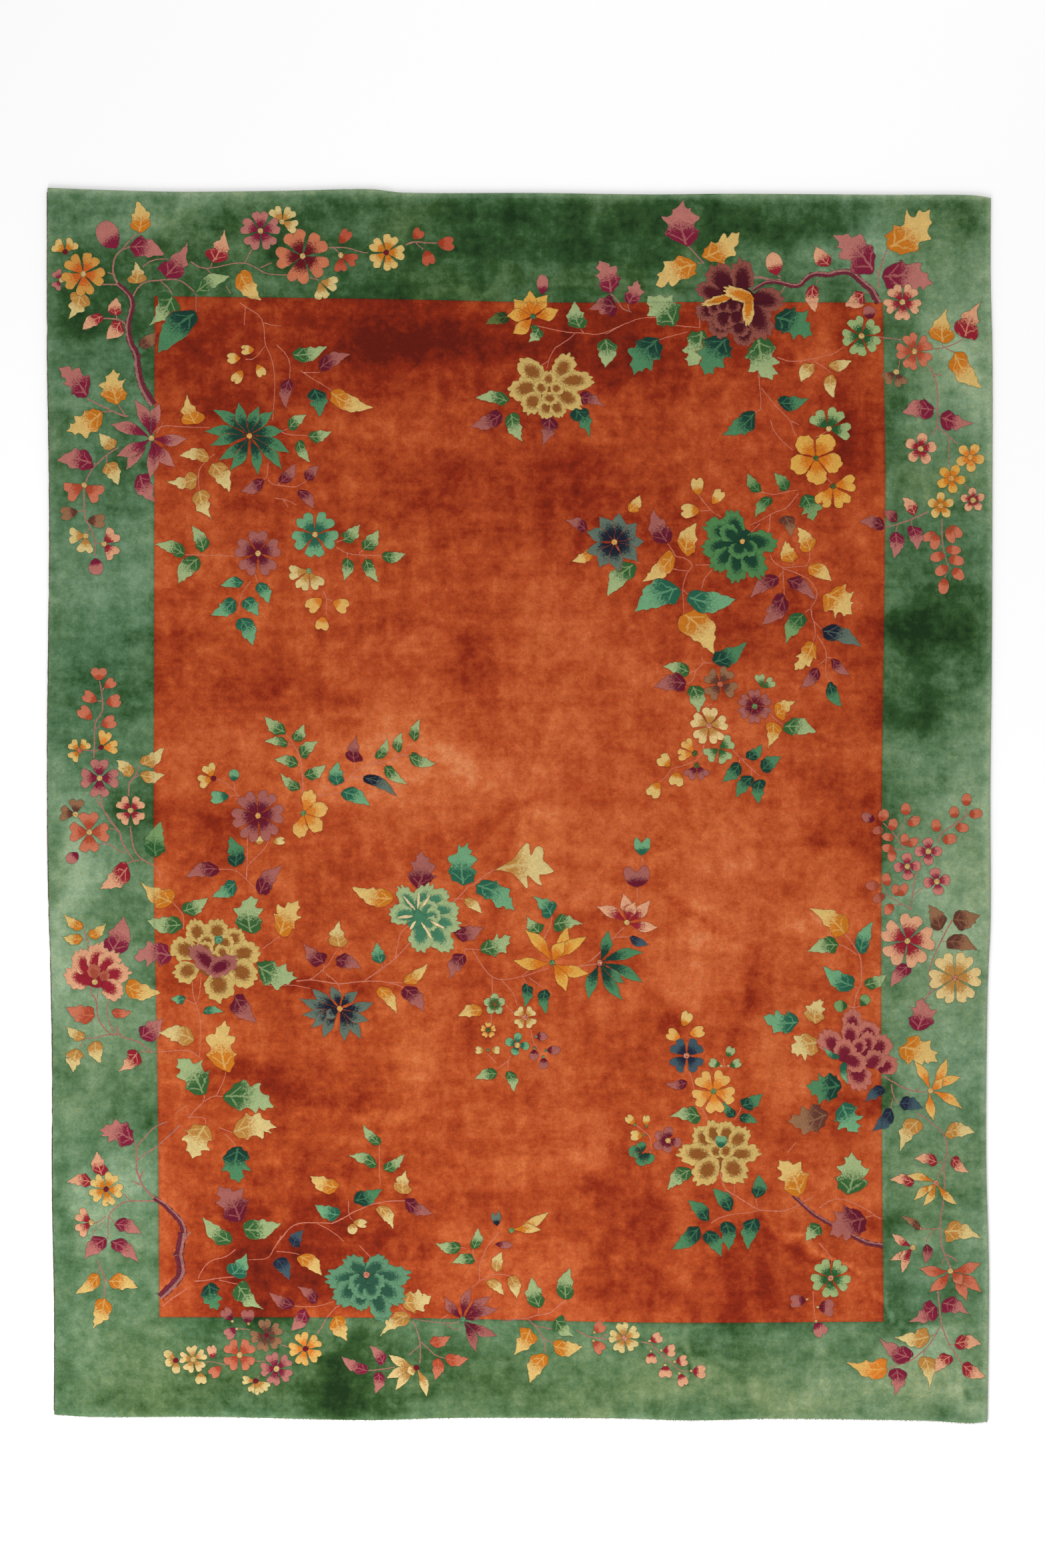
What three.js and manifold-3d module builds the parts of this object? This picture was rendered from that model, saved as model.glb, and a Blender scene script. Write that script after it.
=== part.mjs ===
// A room-size hand-knotted wool pile carpet in the Chinese art deco style, lying on a floor.
//
// One thick woven piece holds the pile. An overcast cord runs down each long side, and each short end has a
// narrow cotton web whose warps are cut off short. Millimetres, +Z up, +X across the width, +Y along the
// length. The origin is on the floor under the middle of the carpet.

import * as THREE from "three";
import { mergeVertices } from "three/addons/utils/BufferGeometryUtils.js";
import Module from "manifold-3d";

// ---------------------------------------------------------------- driving dimensions

const HALF_WIDTH = 1352; // over the side cords, where the carpet is widest
const HALF_LENGTH = 1764; // over the cut warps, where the carpet is longest
const THICKNESS = 13; // woven back and clipped pile together
const BACK_THICKNESS = 3.5; // the woven back alone
const SHOULDER = 20; // how far in from its edge the pile takes to reach its full height
const GAP = 0.3; // between pieces that touch

const CORD_DIAMETER = 6.5; // overcast side cord

const WEB_DEPTH = 5; // woven cotton beyond the last row of knots
const WEB_THICKNESS = 2.6;
const WARP_LENGTH = 7; // a cut warp bundle, beyond the web
const WARP_ROOT = 5.5; // its width where it leaves the web
const WARP_TIP = 2.6;
const WARP_THICKNESS = 2;
const WARP_SINK = 3; // how far its root runs into the web
const WARPS_PER_END = 150;

const INCISION_WIDTH = 12; // the groove clipped between field and border
const INCISION_DEPTH = 2.5;

// ---------------------------------------------------------------- outline

// How far each edge stands in from the widest or longest line, from one end of the carpet to the other.
// The loom let the edges wander by a few millimetres, and the carpet narrows towards its near end.
const LEFT_EDGE = [
  { y: -1764, inset: 19 },
  { y: -1450, inset: 20 },
  { y: -1100, inset: 14 },
  { y: -760, inset: 14 },
  { y: -530, inset: 11 },
  { y: -200, inset: 2 },
  { y: 150, inset: 0 },
  { y: 480, inset: 3 },
  { y: 720, inset: 6 },
  { y: 950, inset: 5 },
  { y: 1290, inset: 0 },
  { y: 1764, inset: 0 },
];
const RIGHT_EDGE = [
  { y: -1764, inset: 14 },
  { y: -1340, inset: 10 },
  { y: -990, inset: 18 },
  { y: -540, inset: 14 },
  { y: -310, inset: 5 },
  { y: 30, inset: 6 },
  { y: 380, inset: 2 },
  { y: 950, inset: 0 },
  { y: 1290, inset: 0 },
  { y: 1520, inset: 5 },
  { y: 1764, inset: 4 },
];
const FAR_END = [
  { x: -1352, inset: 0 },
  { x: -1220, inset: 5 },
  { x: -1000, inset: 11 },
  { x: -690, inset: 9 },
  { x: -430, inset: 4 },
  { x: -330, inset: 14 },
  { x: 60, inset: 15 },
  { x: 370, inset: 19 },
  { x: 600, inset: 17 },
  { x: 1060, inset: 20 },
  { x: 1290, inset: 21 },
  { x: 1352, inset: 30 },
];
const NEAR_END = [
  { x: -1352, inset: 26 },
  { x: -1220, inset: 18 },
  { x: -880, inset: 18 },
  { x: -430, inset: 9 },
  { x: -200, inset: 15 },
  { x: 260, inset: 14 },
  { x: 500, inset: 8 },
  { x: 720, inset: 13 },
  { x: 1170, inset: 7 },
  { x: 1290, inset: 0 },
  { x: 1352, inset: 6 },
];

// The line where the field meets the border, on each side of the carpet.
const FIELD_LEFT = [
  { y: -1459, x: -1029 },
  { y: -800, x: -1034 },
  { y: -200, x: -1045 },
  { y: 400, x: -1044 },
  { y: 1454, x: -1043 },
];
const FIELD_RIGHT = [
  { y: -1472, x: 1038 },
  { y: -700, x: 1032 },
  { y: 100, x: 1034 },
  { y: 900, x: 1043 },
  { y: 1436, x: 1036 },
];
const FIELD_FAR = [
  { x: -1043, y: 1454 },
  { x: -400, y: 1446 },
  { x: 100, y: 1436 },
  { x: 500, y: 1437 },
  { x: 1036, y: 1436 },
];
const FIELD_NEAR = [
  { x: -1029, y: -1459 },
  { x: -300, y: -1462 },
  { x: 400, y: -1475 },
  { x: 1038, y: -1472 },
];

// Long low ripples where the carpet doesn't lie quite flat. Each one rises from the floor along a straight
// crest and dies away at its ends.
const RIPPLES = [
  { fromX: 686, fromY: -1150, toX: 1120, toY: -1450, halfWidth: 75, height: 6 },
  { fromX: 430, fromY: -200, toX: 640, toY: -360, halfWidth: 80, height: 5 },
  { fromX: 640, fromY: -330, toX: 650, toY: -700, halfWidth: 95, height: 4 },
  { fromX: 700, fromY: 180, toX: 930, toY: -60, halfWidth: 90, height: 4 },
  { fromX: -260, fromY: -560, toX: 90, toY: -900, halfWidth: 110, height: 3.5 },
  { fromX: -1180, fromY: 420, toX: -1150, toY: 60, halfWidth: 80, height: 3 },
];

// A smooth curve through a table's rows: `of` names the column that changes along the column `along`.
function curveThrough(rows, along, of) {
  const slopes = rows.map((row, i) => {
    const before = rows[Math.max(i - 1, 0)];
    const after = rows[Math.min(i + 1, rows.length - 1)];
    return (after[of] - before[of]) / (after[along] - before[along]);
  });
  return (at) => {
    const last = rows.length - 2;
    const found = rows.findIndex((row, i) => i > 0 && at <= row[along]);
    const i = at <= rows[0][along] ? 0 : found < 0 ? last : found - 1;
    const span = rows[i + 1][along] - rows[i][along];
    const t = THREE.MathUtils.clamp((at - rows[i][along]) / span, 0, 1);
    const rise = rows[i + 1][of] - rows[i][of];
    const bend = t * (1 - t);
    const ease = t * t * (3 - 2 * t);
    const lead = bend * (1 - t) * slopes[i] * span;
    const trail = -bend * t * (slopes[i + 1] * span);
    return rows[i][of] + rise * ease + lead + trail;
  };
}

const leftInset = curveThrough(LEFT_EDGE, "y", "inset");
const rightInset = curveThrough(RIGHT_EDGE, "y", "inset");
const farInset = curveThrough(FAR_END, "x", "inset");
const nearInset = curveThrough(NEAR_END, "x", "inset");
const fieldLeft = curveThrough(FIELD_LEFT, "y", "x");
const fieldRight = curveThrough(FIELD_RIGHT, "y", "x");
const fieldFar = curveThrough(FIELD_FAR, "x", "y");
const fieldNear = curveThrough(FIELD_NEAR, "x", "y");

const outerLeft = (y) => -HALF_WIDTH + leftInset(y);
const outerRight = (y) => HALF_WIDTH - rightInset(y);
const outerFar = (x) => HALF_LENGTH - farInset(x);
const outerNear = (x) => -HALF_LENGTH + nearInset(x);

const SIDE_FINISH = CORD_DIAMETER + GAP; // from the outline to the pile, at a long side
const END_FINISH = WARP_LENGTH + WEB_DEPTH + GAP; // and at a short end
const pileLeft = (y) => outerLeft(y) + SIDE_FINISH;
const pileRight = (y) => outerRight(y) - SIDE_FINISH;
const pileFar = (x) => outerFar(x) - END_FINISH;
const pileNear = (x) => outerNear(x) + END_FINISH;

// ---------------------------------------------------------------- surface

const smooth = (t) => {
  const c = THREE.MathUtils.clamp(t, 0, 1);
  return c * c * (3 - 2 * c);
};

// How far the ripples lift the carpet off the floor.
function lift(x, y) {
  let most = 0;
  for (const ripple of RIPPLES) {
    const alongX = ripple.toX - ripple.fromX;
    const alongY = ripple.toY - ripple.fromY;
    const length = Math.hypot(alongX, alongY);
    const along = ((x - ripple.fromX) * alongX + (y - ripple.fromY) * alongY) / (length * length);
    const across = ((x - ripple.fromX) * alongY - (y - ripple.fromY) * alongX) / length;
    const side = smooth(1 - Math.abs(across) / ripple.halfWidth);
    const ends = smooth(Math.min(along + 0.35, 1.35 - along) / 0.55);
    most = Math.max(most, ripple.height * side * ends);
  }
  return most;
}

// The clipped pile rises quickly from the woven back at the carpet's edge and rounds over to its full height.
function pileHeight(fromEdge) {
  const t = THREE.MathUtils.clamp(fromEdge / SHOULDER, 0, 1);
  return BACK_THICKNESS + (THICKNESS - BACK_THICKNESS) * Math.sqrt(1 - (1 - t) ** 2.4);
}

// The depth of the clipped groove that parts the field from the border.
function incision(x, y) {
  const inside = Math.min(
    x - fieldLeft(y),
    fieldRight(y) - x,
    y - fieldNear(x),
    fieldFar(x) - y,
  );
  return INCISION_DEPTH * smooth(1 - Math.abs(inside) / (INCISION_WIDTH / 2));
}

// Stations across the carpet, from 0 at one pile edge to 1 at the other. They crowd together over the rounded
// edges and the groove, and spread out over the open field.
const GROOVE = INCISION_WIDTH / 2;
const EDGE_STATIONS = [0, 1.5, 5, 11, SHOULDER];
const BORDER_STEPS = 3;
const FIELD_STEPS_ACROSS = 26;
const FIELD_STEPS_ALONG = 30;

function stations(low, grooveLow, grooveHigh, high, fieldSteps) {
  const at = EDGE_STATIONS.map((d) => low + d);
  const steps = (from, to, count) => {
    for (let i = 1; i <= count; i += 1) at.push(from + ((to - from) * i) / count);
  };
  steps(low + SHOULDER, grooveLow - GROOVE, BORDER_STEPS);
  at.push(grooveLow, grooveLow + GROOVE);
  steps(grooveLow + GROOVE, grooveHigh - GROOVE, fieldSteps);
  at.push(grooveHigh, grooveHigh + GROOVE);
  steps(grooveHigh + GROOVE, high - SHOULDER, BORDER_STEPS);
  for (const d of [...EDGE_STATIONS].reverse().slice(1)) at.push(high - d);
  return at;
}

// ---------------------------------------------------------------- the pile carpet

// Where the grid's columns cross a row, and where its rows cross a column.
const columnsAt = (y) =>
  stations(pileLeft(y), fieldLeft(y), fieldRight(y), pileRight(y), FIELD_STEPS_ACROSS);
const rowsAt = (x) => stations(pileNear(x), fieldNear(x), fieldFar(x), pileFar(x), FIELD_STEPS_ALONG);

function carpetGeometry() {
  const columns = columnsAt(0).length - 1;
  const rows = rowsAt(0).length - 1;
  const positions = [];
  const place = (i, j) => {
    const roughX = columnsAt(rowsAt(0)[j])[i];
    const y = rowsAt(roughX)[j];
    return [columnsAt(y)[i], y];
  };
  for (const top of [true, false]) {
    for (let j = 0; j <= rows; j += 1) {
      for (let i = 0; i <= columns; i += 1) {
        const [x, y] = place(i, j);
        const fromEdge = Math.min(x - pileLeft(y), pileRight(y) - x, y - pileNear(x), pileFar(x) - y);
        const up = lift(x, y);
        positions.push(x, y, top ? up + pileHeight(fromEdge) - incision(x, y) : up);
      }
    }
  }

  const across = columns + 1;
  const layer = across * (rows + 1);
  const indices = [];
  const quad = (a, b, c, d) => indices.push(a, b, c, a, c, d);
  for (let j = 0; j < rows; j += 1) {
    for (let i = 0; i < columns; i += 1) {
      const a = j * across + i;
      quad(a, a + 1, a + 1 + across, a + across);
      quad(layer + a, layer + a + across, layer + a + 1 + across, layer + a + 1);
    }
  }
  for (let i = 0; i < columns; i += 1) {
    const far = rows * across + i;
    quad(layer + i, layer + i + 1, i + 1, i);
    quad(far, far + 1, layer + far + 1, layer + far);
  }
  for (let j = 0; j < rows; j += 1) {
    const left = j * across;
    const right = left + columns;
    quad(left, left + across, layer + left + across, layer + left);
    quad(layer + right, layer + right + across, right + across, right);
  }
  const geometry = new THREE.BufferGeometry();
  geometry.setAttribute("position", new THREE.Float32BufferAttribute(positions, 3));
  geometry.setIndex(indices);
  geometry.computeVertexNormals();
  return geometry;
}

// ---------------------------------------------------------------- the side cords

const CORD_SIDES = 8;

// Triangles between rings of points that share a count, closed over at both ends. Each ring runs
// counterclockwise as seen from beyond the last ring.
function stackOfRings(rings) {
  const sides = rings[0].length;
  const indices = [];
  for (let k = 0; k < rings.length - 1; k += 1) {
    for (let i = 0; i < sides; i += 1) {
      const a = k * sides + i;
      const b = k * sides + ((i + 1) % sides);
      indices.push(a, b, b + sides, a, b + sides, a + sides);
    }
  }
  const last = (rings.length - 1) * sides;
  for (let i = 1; i < sides - 1; i += 1) {
    indices.push(0, i + 1, i);
    indices.push(last, last + i, last + i + 1);
  }
  const geometry = new THREE.BufferGeometry();
  geometry.setAttribute("position", new THREE.Float32BufferAttribute(rings.flat(2), 3));
  geometry.setIndex(indices);
  geometry.computeVertexNormals();
  return geometry;
}

// An octagonal cord along a long side, from one end of the pile to the other. It bends where the pile's rows
// do, so that the two stay the same distance apart.
function cordGeometry(edge, inward) {
  const radius = CORD_DIAMETER / 2;
  const reach = radius / Math.cos(Math.PI / CORD_SIDES);
  const rings = rowsAt(edge(0) + inward * radius).map((y) => {
    const ring = [];
    for (let k = 0; k < CORD_SIDES; k += 1) {
      const turn = -((k + 0.5) / CORD_SIDES) * Math.PI * 2;
      ring.push([edge(y) + inward * radius + reach * Math.cos(turn), y, radius + reach * Math.sin(turn)]);
    }
    return ring;
  });
  return stackOfRings(rings);
}

// ---------------------------------------------------------------- the end webs and their cut warps

// A flat ribbon between two lines across the carpet, standing on the floor.
function ribbonGeometry(nearLine, farLine, across, thickness) {
  const rings = across.map((x) => [
    [x, nearLine(x), 0],
    [x, farLine(x), 0],
    [x, farLine(x), thickness],
    [x, nearLine(x), thickness],
  ]);
  return stackOfRings(rings);
}

// A four-sided tuft of warps that lies on the floor and narrows to its cut end.
function warpGeometry(length, lean) {
  const outline = new THREE.Shape();
  outline.moveTo(-WARP_ROOT / 2, -WARP_SINK);
  outline.lineTo(WARP_ROOT / 2, -WARP_SINK);
  outline.lineTo(WARP_TIP / 2 + lean, length);
  outline.lineTo(-WARP_TIP / 2 + lean, length);
  outline.closePath();
  return new THREE.ExtrudeGeometry(outline, { depth: WARP_THICKNESS, bevelEnabled: false });
}

const wasm = await Module();
wasm.setup();

function solidFrom(geometry) {
  const bare = geometry.clone();
  bare.deleteAttribute("normal");
  bare.deleteAttribute("uv");
  const merged = mergeVertices(bare, 1e-4);
  return new wasm.Manifold(
    new wasm.Mesh({
      numProp: 3,
      vertProperties: new Float32Array(merged.attributes.position.array),
      triVerts: new Uint32Array(merged.index.array),
    }),
  );
}

function geometryFrom(solid) {
  const mesh = solid.getMesh();
  const geometry = new THREE.BufferGeometry();
  geometry.setAttribute("position", new THREE.BufferAttribute(mesh.vertProperties, 3));
  geometry.setIndex(new THREE.BufferAttribute(mesh.triVerts, 1));
  geometry.computeVertexNormals();
  return geometry;
}

// How a tuft differs from its neighbours: a repeatable value from -1 to 1.
const uneven = (k) => Math.sin(k * 12.9898 + 4.1) * Math.cos(k * 4.137);

// One end's web with its row of cut warps. outward is 1 at the far end and -1 at the near end.
function endWebGeometry(outline, outward) {
  const webOuter = (x) => outline(x) - outward * WARP_LENGTH;
  const webInner = (x) => webOuter(x) - outward * WEB_DEPTH;
  const across = columnsAt(outward * (HALF_LENGTH - END_FINISH));
  const fromX = across[0];
  const toX = across[across.length - 1];
  const lines = outward > 0 ? [webInner, webOuter] : [webOuter, webInner];
  let web = solidFrom(ribbonGeometry(lines[0], lines[1], across, WEB_THICKNESS));
  const pitch = (toX - fromX) / WARPS_PER_END;
  for (let k = 0; k < WARPS_PER_END; k += 1) {
    const x = fromX + pitch * (k + 0.5);
    const tuft = warpGeometry(WARP_LENGTH * (0.85 + 0.15 * uneven(k)), 1.5 * uneven(k + 0.5));
    tuft.rotateZ(outward > 0 ? 0 : Math.PI);
    tuft.translate(x, webOuter(x), 0);
    web = web.add(solidFrom(tuft));
  }
  return geometryFrom(web);
}

// ---------------------------------------------------------------- materials and assembly

const wool = (color, roughness) => new THREE.MeshStandardMaterial({ color, roughness, metalness: 0 });
const pileWool = wool(0xb0451a, 0.85);
const bindingWool = wool(0x5d4a2c, 0.9);
const warpCotton = wool(0xc9b284, 0.95);

function piece(name, geometry, material) {
  const mesh = new THREE.Mesh(geometry, material);
  mesh.name = name;
  return mesh;
}

const carpet = new THREE.Group();
carpet.add(
  piece("pile_carpet", carpetGeometry(), pileWool),
  piece("side_cord_left", cordGeometry(outerLeft, 1), bindingWool),
  piece("side_cord_right", cordGeometry(outerRight, -1), bindingWool),
  piece("end_web_far", endWebGeometry(outerFar, 1), warpCotton),
  piece("end_web_near", endWebGeometry(outerNear, -1), warpCotton),
);

export default carpet;
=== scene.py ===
"""A room-size hand-knotted wool carpet in the Chinese art deco style, lying on a pale floor.

The design is knotted motif by motif, the pile is cut as one surface, and the back, cords and cut warps
follow. Sizes of the design are in millimetres from the middle of the carpet, +Y towards its far end.
"""
import math

import bpy
import numpy as np
from mathutils.geometry import delaunay_2d_cdt
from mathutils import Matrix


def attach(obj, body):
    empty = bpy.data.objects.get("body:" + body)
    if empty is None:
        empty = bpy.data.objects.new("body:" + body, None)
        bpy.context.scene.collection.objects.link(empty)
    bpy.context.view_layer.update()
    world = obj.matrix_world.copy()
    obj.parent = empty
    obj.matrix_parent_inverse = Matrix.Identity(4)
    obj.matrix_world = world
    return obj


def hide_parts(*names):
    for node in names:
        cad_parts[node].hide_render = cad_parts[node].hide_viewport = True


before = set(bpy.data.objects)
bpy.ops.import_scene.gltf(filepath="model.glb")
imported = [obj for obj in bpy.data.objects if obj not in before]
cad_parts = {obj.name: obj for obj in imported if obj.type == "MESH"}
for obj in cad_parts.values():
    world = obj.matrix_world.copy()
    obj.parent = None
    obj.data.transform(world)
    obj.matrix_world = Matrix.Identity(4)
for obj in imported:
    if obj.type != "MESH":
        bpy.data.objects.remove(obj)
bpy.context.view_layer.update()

# ---------------------------------------------------------------- branches, twigs and tendrils
# The lines of the design are one to five knots wide. The branches are plum wool with a lilac side, the twigs
# in the border pink-brown, and the tendrils on the rust field a pale tan. They are knotted in with the pile,
# and only the branches are clipped round.

MM = 0.001
DYES = {}
design = []  # all that is knotted over the ground, the lowest first
chance = np.random.default_rng(11)


def dyed(red, green, blue):
    """A wool colour in linear light, from its parts out of 255."""
    parts = np.array([red, green, blue]) / 255
    return np.where(parts < 0.04045, parts / 12.92, ((parts + 0.055) / 1.055) ** 2.4)


def mix_dyes(**shades):
    """Adds dyes, each in two shades: the one at the stalk and the one at the tip."""
    for dye, (at_stalk, at_tip) in shades.items():
        DYES[dye] = dyed(*at_stalk), dyed(*at_tip)


mix_dyes(
    vein=((190, 104, 80), (200, 122, 100)),
    twig=((150, 96, 84), (172, 120, 106)),
    bark=((96, 26, 44), (122, 46, 58)),
    lilac=((150, 92, 92), (178, 122, 112)),
)

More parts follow.
